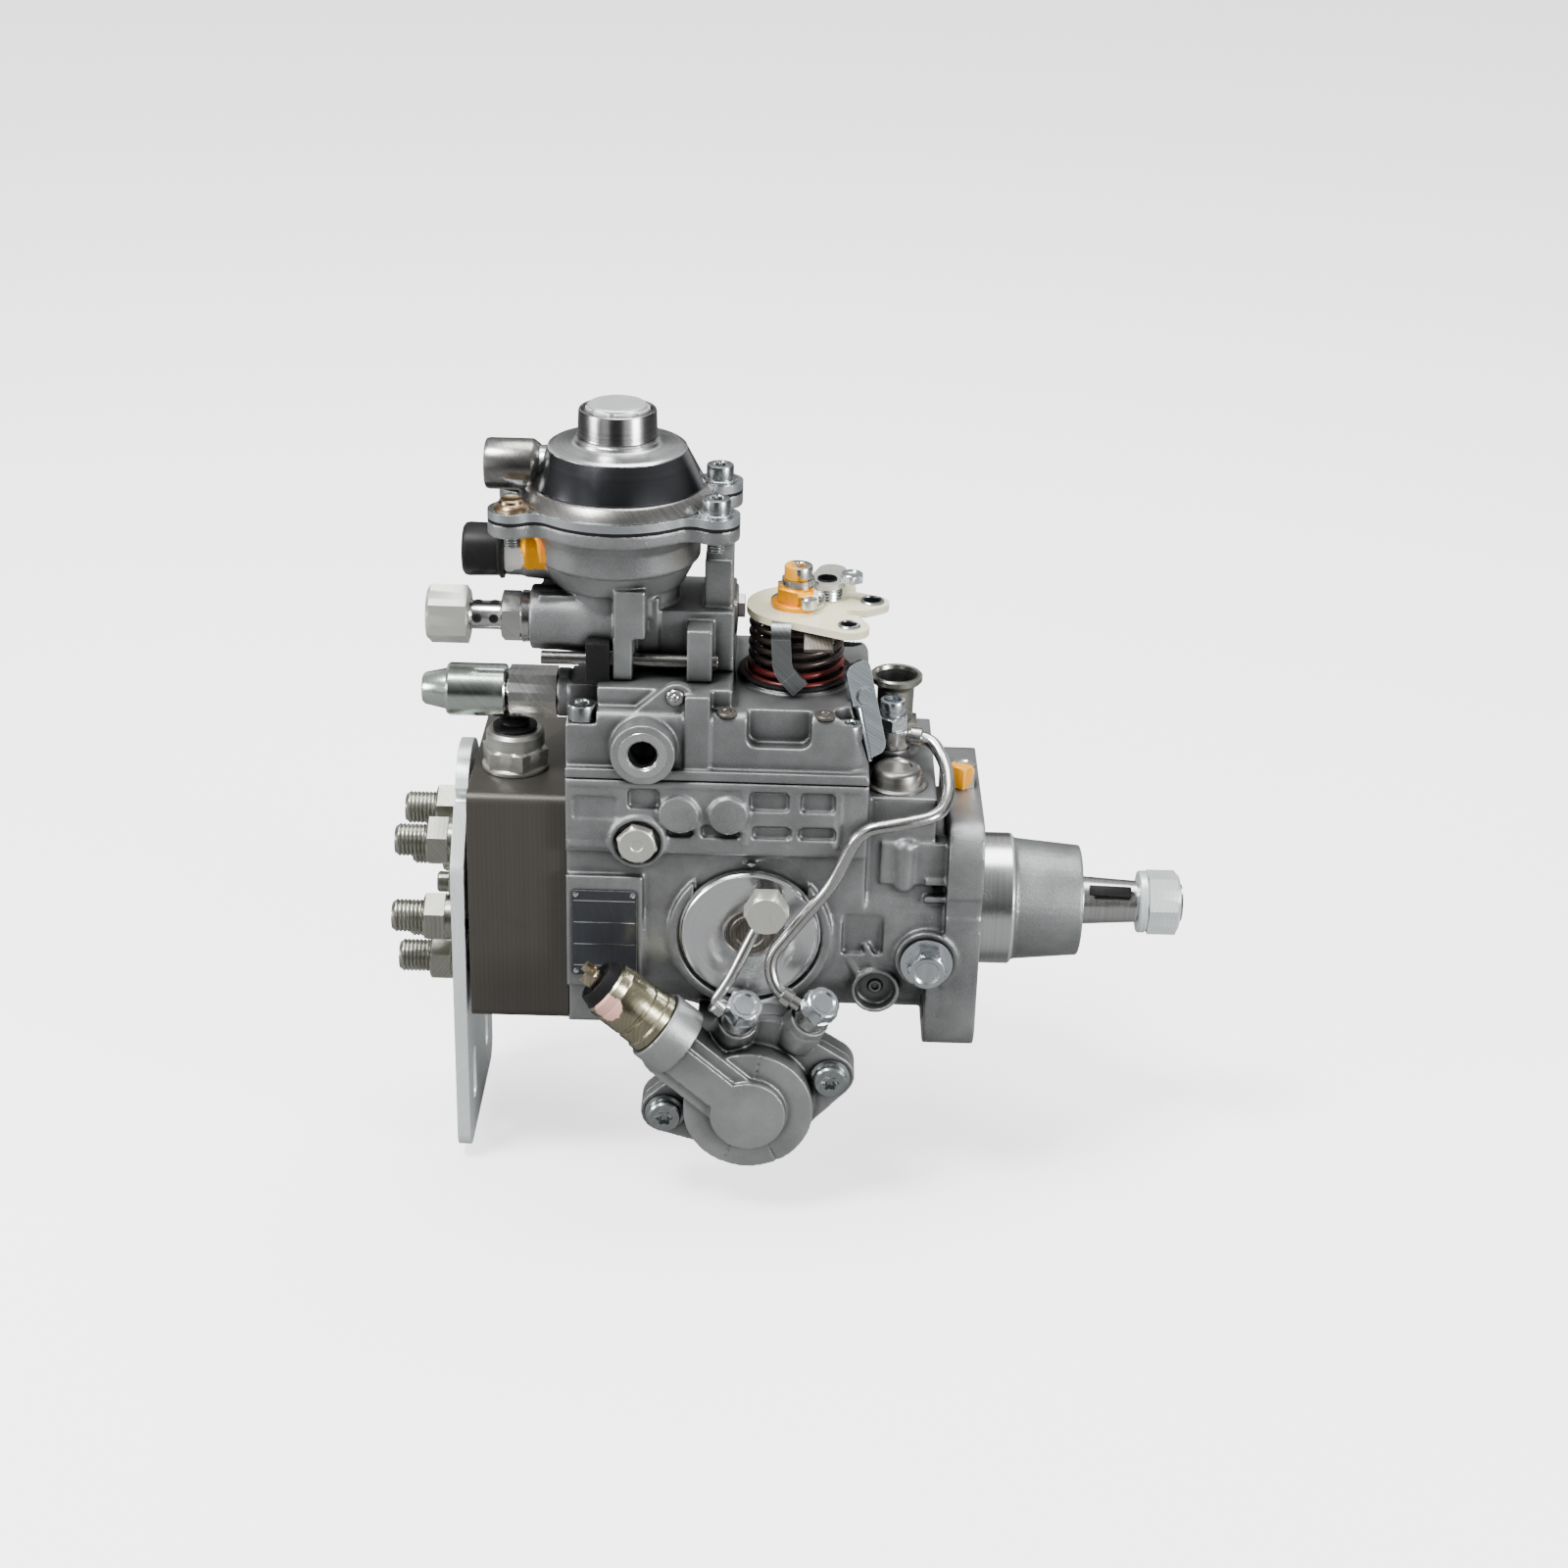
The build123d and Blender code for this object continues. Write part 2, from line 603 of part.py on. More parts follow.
for turn in range(flyweights):
    angle = radians(90 * turn)
    radial = Vector(0, cos(angle), sin(angle))
    tangent = Vector(0, -sin(angle), cos(angle))
    weight_plane = Plane((0, 0, governor_z), x_dir=(1, 0, 0), z_dir=tangent)
    name = f"flyweight_{turn + 1}"
    with BuildPart() as flyweight:
        with BuildSketch(weight_plane.offset(-weight_half_width)) as weight_profile:
            with BuildLine():
                Polyline(
                    (-75.3, 12.0),
                    (-75.3, 20.3),
                    (-64.5, 20.3),
                    (-61.2, 14.0),
                    (-61.2, 12.0),
                    (-63.2, 10.5),
                    (-63.2, 5.2),
                    (-64.6, 4.5),
                    (-66.2, 6.0),
                    (-65.6, 11.0),
                    (-68.0, 12.0),
                    close=True,
                )
            make_face()
        extrude(amount=2 * weight_half_width)
        for edge in (-weight_half_width, finger_half_width):
            with BuildSketch(weight_plane.offset(edge)) as finger_trim:
                with Locations((-65, 6.6)):
                    Rectangle(10, 8)
            extrude(amount=weight_half_width - finger_half_width, mode=Mode.SUBTRACT)
        trunnion = Vector(weight_pivot_x, 0, governor_z) + radial * weight_pivot_r - tangent * 10
        cylinder(Plane(trunnion, z_dir=tangent), 1.5, 20)
    flyweight.part.label = name
    export_step(flyweight.part, f"parts/{name}.step")

with BuildPart() as governor_sleeve:
    cylinder(governor_side.offset(sleeve_back_x), sleeve_radius, sleeve_front_x - sleeve_back_x)
    cylinder(governor_side.offset(sleeve_back_x + 4), spindle_radius + fit, 60, Mode.SUBTRACT)
governor_sleeve.part.label = "governor_sleeve"
export_step(governor_sleeve.part, "parts/governor_sleeve.step")

nose_radius = 3.0
spring_z = 79.5
with BuildPart() as governor_lever:
    with BuildSketch(Plane.YZ.offset(lever_pin_x - 2)):
        with Locations((0, lever_pin_z)):
            Circle(7)
        with Locations((0, governor_z)):
            Circle(6)
        with Locations((0, spring_z - 1)):
            Circle(2.5)
        make_hull()
        with Locations((0, (lever_ball_z + lever_pin_z) / 2)):
            Rectangle(4, lever_pin_z - lever_ball_z)
    extrude(amount=4)
    with BuildSketch(front.offset(-10)) as pin_boss:
        with Locations((lever_pin_x, lever_pin_z)):
            Circle(5)
    extrude(amount=20)
    with BuildSketch(front.offset(-36)) as lever_pin:
        with Locations((lever_pin_x, lever_pin_z)):
            Circle(lever_pin_radius)
    extrude(amount=72)
    nose_x = sleeve_back_x - gap - nose_radius
    cylinder(governor_side.offset(lever_pin_x), nose_radius, nose_x - lever_pin_x)
    with Locations((nose_x, 0, governor_z)):
        Sphere(nose_radius)
    with Locations((lever_pin_x, 0, lever_ball_z)):
        Sphere(2.5)
governor_lever.part.label = "governor_lever"
export_step(governor_lever.part, "parts/governor_lever.step")

crank_reach = 12.0
with BuildPart() as governor_spring:
    spring_front_x = throttle_x - crank_reach - 3.0
    spring_back_x = lever_pin_x + 3.5
    spring_length = spring_front_x - spring_back_x
    add(coil(Plane((spring_back_x, 0, spring_z), z_dir=(1, 0, 0)), 2.8, 1.2, spring_length, 6))
governor_spring.part.label = "governor_spring"
export_step(governor_spring.part, "parts/governor_spring.step")

# ---------------------------------------------------------------- timing device

piston_half = 22.0
with BuildPart() as timing_piston:
    timing_axis = Plane((timing_x, -piston_half, timing_z), z_dir=(0, 1, 0))
    cylinder(timing_axis, timing_bore_radius, 2 * piston_half)
    cylinder(timing_axis.offset(2 * piston_half), 10.5, -8, Mode.SUBTRACT)
    pocket_x = slide_pin_radius + 0.4
    pocket_y = slide_pin_radius + 2.2
    pocket_bottom_z = timing_z - 4.5
    block((timing_x - pocket_x, timing_x + pocket_x), (-pocket_y, pocket_y), (pocket_bottom_z, -40), Mode.SUBTRACT)
timing_piston.part.label = "timing_piston"
export_step(timing_piston.part, "parts/timing_piston.step")

with BuildPart() as timing_spring:
    seat_y = piston_half - 8
    add(coil(timing_axis.offset(2 * piston_half - 6.8), 8.6, 2.2, timing_face_y - seat_y - 2.4, 4))
timing_spring.part.label = "timing_spring"
export_step(timing_spring.part, "parts/timing_spring.step")


def ear_plate(plane, thickness):
    """The eared outline of both timing covers, with its screw holes."""
    with BuildSketch(plane) as outline:
        with Locations((timing_x, timing_z)):
            Circle(timing_boss_radius)
        with Locations(timing_ears):
            Circle(ear_plate_radius)
        with Locations((timing_x + 6, -38.0)):
            Circle(14)
        make_hull()
        with Locations(timing_ears):
            Circle(3 + fit, mode=Mode.SUBTRACT)
    extrude(outline.sketch, amount=thickness)


with BuildPart() as timing_spring_cover:
    ear_plate(front.offset(-timing_face_y - 5), 5)
    with BuildSketch(front.offset(-timing_face_y - 10)) as spring_dome:
        with Locations((timing_x, timing_z)):
            Circle(16)
    extrude(amount=5)
    chamfer(timing_spring_cover.edges().group_by(Axis.Y)[-1], 1.5)
timing_spring_cover.part.label = "timing_spring_cover"
export_step(timing_spring_cover.part, "parts/timing_spring_cover.step")

timing_cover_y = timing_face_y + 18.0
solenoid_base = Vector(-118.0, -62.0, -24.0)
solenoid_axis = Vector(-0.77, 0.0, 0.64).normalized()
solenoid_plane = Plane(solenoid_base, z_dir=solenoid_axis)
barrel_outer = 13.5
timing_solenoid_radius = 11.0
left_banjo = Vector(-88.0, -60.0, -22.5)
right_banjo = Vector(-61.5, -58.5, -21.5)
left_banjo_axis = Vector(0.2, -0.55, 0.81).normalized()
right_banjo_axis = Vector(0.35, -0.5, 0.79).normalized()
with BuildPart() as timing_cover:
    ear_plate(front.offset(timing_face_y), 5)
    with BuildSketch(front.offset(timing_face_y + 5)) as cover_drum:
        with Locations((timing_x, timing_z)):
            Circle(timing_boss_radius)
    extrude(amount=9)
    with BuildSketch(front.offset(timing_face_y + 14)) as drum_cap:
        with Locations((timing_x, timing_z)):
            Circle(14)
    extrude(amount=timing_cover_y - timing_face_y - 14)
    for radius, height in ((11, 12), (6.3, timing_cover_y - timing_face_y - 4)):
        with BuildSketch(front.offset(timing_face_y + 4)) as gallery:
            with Locations((timing_x, timing_z), (-112.0, -33.0)):
                Circle(radius)
            make_hull()
        extrude(amount=height)
    with BuildSketch(front.offset(timing_face_y + 14)) as drum_grooves:
        for angle in (-112, -62, 80):
            with Locations((timing_x + 19.5 * cos(radians(angle)), timing_z + 19.5 * sin(radians(angle)))):
                Rectangle(10, 1.0, rotation=angle)
    extrude(amount=-0.8, mode=Mode.SUBTRACT)
    cylinder(solenoid_plane.offset(-12), barrel_outer, 12)
    for seat, axis in ((left_banjo, left_banjo_axis), (right_banjo, right_banjo_axis)):
        cylinder(Plane(seat, z_dir=axis), 7.5, -16)
    split(bisect_by=Plane((0, -timing_face_y, 0), z_dir=(0, -1, 0)))
    for x, z in timing_ears:
        cylinder(Plane((x, -timing_face_y - 5, z), z_dir=(0, -1, 0)), 7.5, 14, Mode.SUBTRACT)
        cylinder(Plane((x, -timing_face_y, z), z_dir=(0, -1, 0)), 3 + fit, 5, Mode.SUBTRACT)
    cylinder(solenoid_plane, 16, 20, Mode.SUBTRACT)
    cylinder(solenoid_plane, 9 + fit, -8, Mode.SUBTRACT)
    for seat, axis in ((left_banjo, left_banjo_axis), (right_banjo, right_banjo_axis)):
        screw_hole(Plane(seat, z_dir=axis), 3, 9)
timing_cover.part.label = "timing_cover"
export_step(timing_cover.part, "parts/timing_cover.step")

with BuildPart() as timing_solenoid:
    cylinder(solenoid_plane.offset(-8), 9, 8)
    cylinder(solenoid_plane, timing_solenoid_radius + 0.8, 2)
    cylinder(solenoid_plane.offset(2), timing_solenoid_radius, 22)
    cylinder(solenoid_plane.offset(24), 9, 4)
    with BuildSketch(solenoid_plane.offset(28)) as terminals:
        with Locations((-4, 0), (4, 0)):
            Rectangle(1.2, 6.3)
    extrude(amount=7)
timing_solenoid.part.label = "timing_solenoid"
export_step(timing_solenoid.part, "parts/timing_solenoid.step")

# ---------------------------------------------------------------- covers

ceiling_z = 84.0
inlet = (-124.0, 77.0)
inlet_face_y = 48.0
pad_top_z = 85.0
tower_front_y = 34.0
full_load = (-12.0, 85.5)
cover_boss_end_x = -156.8
rod_y = -22.0
rod_z = 103.0
with BuildPart() as governor_cover:
    block((head_joint_x, cover_end_x), (-half_width, half_width), (gasket_z, cover_top_z))
    fillet(governor_cover.edges().filter_by(Axis.Z).group_by(Axis.X)[-1], 8)
    fillet(governor_cover.edges().group_by(Axis.Z)[-1], 3.5)
    block((head_joint_x, cover_end_x), (-panel_y, panel_y), (gasket_z, gasket_z + 4))
    block((-141, -93), (-tower_front_y, tower_front_y), (cover_top_z, tower_z))
    block((head_joint_x, -141), (-half_width, half_width), (pad_top_z, cover_top_z), Mode.SUBTRACT)
    cylinder(Plane((head_joint_x, full_load[0], full_load[1]), z_dir=(-1, 0, 0)), 9, -cover_boss_end_x + head_joint_x)
    block((head_joint_x, -139), (full_load[0] - 9, full_load[0] + 9), (pad_top_z, full_load[1] + 7))
    with BuildSketch(front.offset(half_width - 6)) as inlet_boss:
        with Locations(inlet):
            Circle(11.6)
    extrude(amount=inlet_face_y - half_width + 6)
    with BuildSketch(front.offset(tower_front_y)) as lug:
        with Locations(inlet):
            Circle(11.6)
        with Locations((-112.5, 93.5)):
            Circle(7)
        make_hull()
    extrude(amount=half_width - 2 - tower_front_y)
    block((-109.5, -100.5), (-half_width - 1, -tower_front_y), (gasket_z + 4, tower_z))
    with BuildSketch(Plane.XY.offset(cover_top_z)) as throttle_boss:
        with Locations((throttle_x, 0)):
            Circle(21)
    extrude(amount=1.5)
    with BuildSketch(Plane.XY.offset(cover_top_z)) as throttle_neck:
        with Locations((throttle_x, 0)):
            Circle(10)
    extrude(amount=22)
    # Hollow underneath and the openings through it
    block((head_wall_x, room_end_x), (-room_half_width, room_half_width), (gasket_z, ceiling_z), Mode.SUBTRACT)
    cylinder(Plane((throttle_x, 0, ceiling_z)), throttle_shaft_radius + fit, 40, Mode.SUBTRACT)
    cylinder(Plane((boost_x, 0, ceiling_z)), 4 + fit, 20, Mode.SUBTRACT)
    cylinder(Plane((cover_boss_end_x, full_load[0], full_load[1] - 4), z_dir=(1, 0, 0)), 4 + fit, 20, Mode.SUBTRACT)
    cylinder(Plane((inlet[0], -inlet_face_y, inlet[1]), z_dir=(0, 1, 0)), 5.25, 21, Mode.SUBTRACT)
    with BuildSketch(front.offset(half_width - 6)) as front_recess:
        with Locations((-75.8, 87.0)):
            RectangleRounded(23, 19, 4)
    extrude(amount=8, mode=Mode.SUBTRACT)
    for x, y in corner_screws:
        cylinder(Plane((x, y, gasket_z)), 3 + fit, 30, Mode.SUBTRACT)
        if x > -100:
            cylinder(Plane((x, y, 80)), 5.3, 12, Mode.SUBTRACT)
governor_cover.part.label = "governor_cover"
export_step(governor_cover.part, "parts/governor_cover.step")

with BuildPart() as window_cover:
    with BuildSketch(front.offset(window_floor_y)):
        with Locations((window_x, window_z)):
            Circle(window_radius - 2)
    extrude(amount=2.5)
    with BuildSketch(front.offset(window_floor_y + 2.5)):
        with Locations((window_x, window_z)):
            Circle(10.5)
    extrude(amount=-1.5, mode=Mode.SUBTRACT)
    with BuildSketch(front.offset(window_floor_y)):
        with Locations((-78.6, 22.9)):
            Circle(7)
    extrude(amount=10)
    screw_hole(Plane((-78.6, -window_floor_y - 10, 22.9), z_dir=(0, -1, 0)), 4, 7)
window_cover.part.label = "window_cover"
export_step(window_cover.part, "parts/window_cover.step")

# ---------------------------------------------------------------- boost compensator


def tower_flange(plane, thickness, screw_radius=3.0):
    """The four-eared diaphragm flange."""
    with BuildSketch(plane) as outline:
        Circle(35)
        with GridLocations(2 * ear_x, 2 * ear_y, 2, 2):
            Circle(8.5)
        necks = [v for v in outline.vertices() if abs(v.X) < 34.5 and abs(v.Y) > 5]
        fillet(necks, 7)
        with GridLocations(2 * ear_x, 2 * ear_y, 2, 2):
            Circle(screw_radius + fit, mode=Mode.SUBTRACT)
    extrude(outline.sketch, amount=thickness)


boost_plane = Plane((boost_x, 0, 0))
flange_bottom_z = diaphragm_z - 5.0
bowl_z = 136.0
arm_z = (104.0, 125.0)
vent = (-10.0, 114.0)
boost_port_z = 137.0
boost_port_x = -170.0
with BuildPart() as aneroid_housing:
    tower_flange(boost_plane.offset(flange_bottom_z), 5)
    cone(boost_plane.offset(flange_bottom_z - 4), 30.5, 33, 4)
    cylinder(boost_plane.offset(bowl_z), 30, flange_bottom_z - bowl_z)
    cone(boost_plane.offset(bowl_z - 9), 24.5, 29, 9)
    cylinder(boost_plane.offset(118), 22.5, bowl_z - 120)
    block((-141, -93), (-17, 20), (tower_z, 120))
    block((-163, -120), (-18, 2), arm_z)
    cylinder(Plane((-163, vent[0], vent[1]), z_dir=(-1, 0, 0)), 9.5, 3.8)
    block((-104, -94), (-12, 14), (tower_z, 138))
    block((-104, -92), (-9, 9), (109, 122))
    cylinder(Plane((boost_port_x, 0, boost_port_z), z_dir=(1, 0, 0)), 7.5, 12)
    block((-135.6, -124.4), (-28, -17), (113, 131))
    block((-136, -129), (-28, -17), (tower_z, 113))
    block((-109.5, -100.5), (-28, -17), (tower_z, 117))
    # Bowl, spring well and pin guide
    cylinder(boost_plane.offset(132), 25, diaphragm_z - 132, Mode.SUBTRACT)
    cylinder(boost_plane.offset(112), 13, 20, Mode.SUBTRACT)
    cylinder(boost_plane.offset(tower_z), 4 + fit, 20, Mode.SUBTRACT)
    cylinder(Plane((boost_port_x, 0, boost_port_z), z_dir=(1, 0, 0)), 3, 12, Mode.SUBTRACT)
    cylinder(Plane((-167, vent[0], vent[1]), z_dir=(1, 0, 0)), 4 + fit, 14, Mode.SUBTRACT)
    cylinder(Plane((-137, rod_y, rod_z), z_dir=(1, 0, 0)), 2.4 + fit, 40, Mode.SUBTRACT)
    cylinder(Plane((-92, 0, 116.5), z_dir=(-1, 0, 0)), 2.4 + fit, 8, Mode.SUBTRACT)
aneroid_housing.part.label = "aneroid_housing"
export_step(aneroid_housing.part, "parts/aneroid_housing.step")

film = 1.0
with BuildPart() as diaphragm:
    tower_flange(boost_plane.offset(diaphragm_z), film)
    cylinder(boost_plane.offset(diaphragm_z), 4, film, Mode.SUBTRACT)
diaphragm.part.label = "diaphragm"
export_step(diaphragm.part, "parts/diaphragm.step")

cover_bottom_z = diaphragm_z + film
fitting_x = -166.0
fitting_z = 168.0
with BuildPart() as aneroid_cover:
    dome_plane = Plane((boost_x, 0, cover_bottom_z), x_dir=(0, 1, 0), z_dir=(0, 0, 1))
    tower_flange(boost_plane.offset(cover_bottom_z), 3)
    cone(dome_plane.offset(3), 29, 23, 18)
    cylinder(Plane((fitting_x, 0, fitting_z), z_dir=(1, 0, 0)), 7, 13)
    cone(dome_plane, 25, 20, 15, Mode.SUBTRACT)
    cylinder(boost_plane.offset(cover_bottom_z), 10 + fit, 30, Mode.SUBTRACT)
    cylinder(Plane((fitting_x, 0, fitting_z), z_dir=(1, 0, 0)), 4 + fit, 13, Mode.SUBTRACT)
aneroid_cover.part.label = "aneroid_cover"
export_step(aneroid_cover.part, "parts/aneroid_cover.step")

plateau_z = cover_bottom_z + 21
with BuildPart() as aneroid_cap:
    cylinder(boost_plane.offset(plateau_z - 5), 10, 5)
    cone(boost_plane.offset(plateau_z), 16.5, 14, 2)
    cylinder(boost_plane.offset(plateau_z + 2), 13.6, 6.5)
    cylinder(boost_plane.offset(plateau_z + 8.5), 12.3, 1.6)
    cylinder(boost_plane.offset(plateau_z + 10.1), 10.6, 2.4)
aneroid_cap.part.label = "aneroid_cap"
export_step(aneroid_cap.part, "parts/aneroid_cap.step")

with BuildPart() as aneroid_fitting:
    cylinder(Plane((fitting_x, 0, fitting_z), z_dir=(-1, 0, 0)), 8.25, 17)
    chamfer(aneroid_fitting.edges().group_by(Axis.X)[0], 1.0)
    cylinder(Plane((fitting_x, 0, fitting_z), z_dir=(1, 0, 0)), 4, 9)
    cylinder(Plane((fitting_x - 17, 0, fitting_z), z_dir=(1, 0, 0)), 6, 12, Mode.SUBTRACT)
aneroid_fitting.part.label = "aneroid_fitting"
export_step(aneroid_fitting.part, "parts/aneroid_fitting.step")

with BuildPart() as boost_port_cap:
    port_plane = Plane((boost_port_x, 0, boost_port_z), z_dir=(-1, 0, 0))
    hexagon(port_plane, 14, 9)
    tube(port_plane.offset(9), 4, 2, 12)
    tube(port_plane.offset(9.2), 8.0, 4 + fit, 12)
    cylinder(port_plane.offset(21.2), 8.0, 2.0)
    cylinder(port_plane, 3 - fit, -7)
boost_port_cap.part.label = "boost_port_cap"
export_step(boost_port_cap.part, "parts/boost_port_cap.step")

pin_radius = 4.0
pin_bottom_z = 86.0
with BuildPart() as aneroid_pin:
    cylinder(boost_plane.offset(pin_bottom_z), pin_radius, 12)
    cone(boost_plane.offset(pin_bottom_z + 12), pin_radius, pin_radius - 1.5, 10)
    cylinder(boost_plane.offset(pin_bottom_z + 22), pin_radius - 1.5, 6)
    cylinder(boost_plane.offset(pin_bottom_z + 28), pin_radius, diaphragm_z - pin_bottom_z - 31)
    cylinder(boost_plane.offset(diaphragm_z - 3), 19, 2.7)
    cylinder(boost_plane.offset(diaphragm_z - 0.5), pin_radius - 0.5, film + 1)
    cylinder(boost_plane.offset(cover_bottom_z + gap), 17, 2)
    cylinder(boost_plane.offset(cover_bottom_z + 2), pin_radius, 5)
aneroid_pin.part.label = "aneroid_pin"
export_step(aneroid_pin.part, "parts/aneroid_pin.step")

with BuildPart() as aneroid_spring:
    add(coil(boost_plane.offset(113.2), 10, 2, diaphragm_z - 3 - 112 - 2.4, 5))
aneroid_spring.part.label = "aneroid_spring"
export_step(aneroid_spring.part, "parts/aneroid_spring.step")

with BuildPart() as vent_union:
    vent_plane = Plane((-166.8, vent[0], vent[1]), z_dir=(-1, 0, 0))
    cylinder(vent_plane, 4, -10)
    cylinder(vent_plane, 9, 3)
    hexagon(vent_plane.offset(3), 17, 7)
    cylinder(vent_plane.offset(10), 5.25, 12)
    hexagon(vent_plane.offset(22), 19, 15)
    chamfer(vent_union.edges().group_by(Axis.X)[0], 1.0)
    for z_dir in ((0, 0, 1), (0, 1, 0)):
        cylinder(Plane((-182.5, vent[0], vent[1]), z_dir=z_dir).offset(-8), 1.6, 16, Mode.SUBTRACT)
vent_union.part.label = "vent_union"
export_step(vent_union.part, "parts/vent_union.step")

with BuildPart() as full_load_screw:
    sleeve_plane = Plane((cover_boss_end_x, full_load[0], full_load[1]), z_dir=(-1, 0, 0))
    hexagon(sleeve_plane, 17, 18.4)
    cylinder(sleeve_plane.offset(18.4), 9.6, 22)
    cone(sleeve_plane.offset(40.4), 7.5, 5.5, 9)
    cylinder(sleeve_plane.shift_origin((cover_boss_end_x, full_load[0], full_load[1] - 4)), 4, -19)
full_load_screw.part.label = "full_load_screw"
export_step(full_load_screw.part, "parts/full_load_screw.step")

with BuildPart() as max_speed_screw:
    rod_plane = Plane((-162, rod_y, rod_z), x_dir=(0, 1, 0), z_dir=(1, 0, 0))
    cylinder(rod_plane, 2.4, 63.5)
    with BuildSketch(rod_plane.offset(17)) as seal_block:
        with Locations((-1, 1)):
            Rectangle(9.6, 13)
        Circle(2.4 + fit, mode=Mode.SUBTRACT)
    extrude(amount=7.5)
    with BuildSketch(rod_plane.offset(24.6)) as lock_nut:
        RegularPolygon(4, 6, major_radius=False)
        Circle(2.4 + fit, mode=Mode.SUBTRACT)
    extrude(amount=1.3)
    stop_plane = Plane((-92, 0, 116.5), z_dir=(1, 0, 0))
    cylinder(stop_plane.offset(-6), 2.4, 6)
    hexagon(stop_plane, 8, 2.5)
max_speed_screw.part.label = "max_speed_screw"
export_step(max_speed_screw.part, "parts/max_speed_screw.step")

# ---------------------------------------------------------------- throttle

lever_thickness = 3.0
throttle_top_z = 128.0
with BuildPart() as throttle_shaft:
    throttle_plane = Plane((throttle_x, 0, 0))
    cylinder(throttle_plane.offset(78), throttle_shaft_radius, throttle_top_z - 78)
    with BuildSketch(throttle_plane.offset(78)) as crank:
        Circle(throttle_shaft_radius)
        with Locations((-crank_reach, 0)):
            Circle(2.5)
        make_hull()
    extrude(amount=3)
throttle_shaft.part.label = "throttle_shaft"
export_step(throttle_shaft.part, "parts/throttle_shaft.step")

tab_y = -21.5
with BuildPart() as throttle_lever:
    with BuildSketch(throttle_plane.offset(lever_z)) as lever_outline:
        Circle(18.5)
        with Locations((27, 0)):
            Circle(6.5)
        make_hull()
        with Locations((20, -11)):
            Circle(8)
        with Locations((15, 20)):
            Circle(6.5)
        with Locations((10, 12)):
            Circle(10)
        with Locations((27, 0)):
            Circle(3.2, mode=Mode.SUBTRACT)
        with Locations((20, -12)):
            SlotOverall(8, 4, mode=Mode.SUBTRACT)
        with Locations((15, 20)):
            Circle(2.6, mode=Mode.SUBTRACT)
        with Locations((19.5, 7.5)):
            Circle(3.0, mode=Mode.SUBTRACT)
        Circle(throttle_shaft_radius + fit, mode=Mode.SUBTRACT)
    extrude(amount=lever_thickness)
    # Spring hook bent down in front of the coils
    block(
        (throttle_x - 8, throttle_x + 8),
        (tab_y - 1.5, -16),
        (lever_z, lever_z + lever_thickness),
    )
    block((throttle_x - 7, throttle_x), (tab_y - 1.5, tab_y + 1.5), (98, lever_z))
    block((throttle_x - 7, throttle_x + 6), (tab_y - 1.5, tab_y + 1.5), (98, 103))
    # Stop plate standing on the lever
    with BuildSketch(throttle_plane.offset(lever_z + lever_thickness)) as stop_plate:
        with Locations((-2, 3)):
            Circle(10)
        with Locations((-10, 8)):
            Circle(4)
        make_hull()
        Circle(throttle_shaft_radius + fit, mode=Mode.SUBTRACT)
    extrude(amount=2)
throttle_lever.part.label = "throttle_lever"
export_step(throttle_lever.part, "parts/throttle_lever.step")

with BuildPart() as lever_screws:
    with BuildSketch(throttle_plane.offset(lever_z + 5)) as lever_nut:
        RegularPolygon(8, 6, major_radius=False)
        Circle(throttle_shaft_radius + fit, mode=Mode.SUBTRACT)
    extrude(amount=5)
    cylinder(throttle_plane.offset(throttle_top_z), 5, 5)
    hexagon(throttle_plane.offset(throttle_top_z + 5), 5, -3, Mode.SUBTRACT)
    stud_plane = Plane((throttle_x + 19.5, 7.5, lever_z))
    cylinder(stud_plane.offset(-4), 2.95, 7)
    cylinder(stud_plane.offset(3), 5, 3)
lever_screws.part.label = "lever_screws"
export_step(lever_screws.part, "parts/lever_screws.step")

spring_base_z = cover_top_z + 1.5
with BuildPart() as throttle_spring:
    add(coil(throttle_plane.offset(spring_base_z + 1.6), 16.0, 3.0, lever_z - spring_base_z - 3.4, 5))
throttle_spring.part.label = "throttle_spring"
export_step(throttle_spring.part, "parts/throttle_spring.step")

with BuildPart() as stop_bracket:
    strip_up = Vector(-9.0, 5.0, 25.0).normalized()
    strip_out = Vector(0.55, -0.8, 0.0)
    strip_normal = (strip_out - strip_up * strip_out.dot(strip_up)).normalized()
    strip_plane = Plane((-42.2, -5.0, 99.0), x_dir=strip_up.cross(strip_normal), z_dir=strip_normal)
    with BuildSketch(strip_plane) as strip:
        SlotOverall(26, 9, rotation=90)
        with Locations((0, 9)):
            Circle(1.5, mode=Mode.SUBTRACT)
    extrude(amount=2.2)
    block((-48.8, -41.5), (-8, 0), (cover_top_z, cover_top_z + 2))
stop_bracket.part.label = "stop_bracket"
export_step(stop_bracket.part, "parts/stop_bracket.step")

# ---------------------------------------------------------------- distributor head

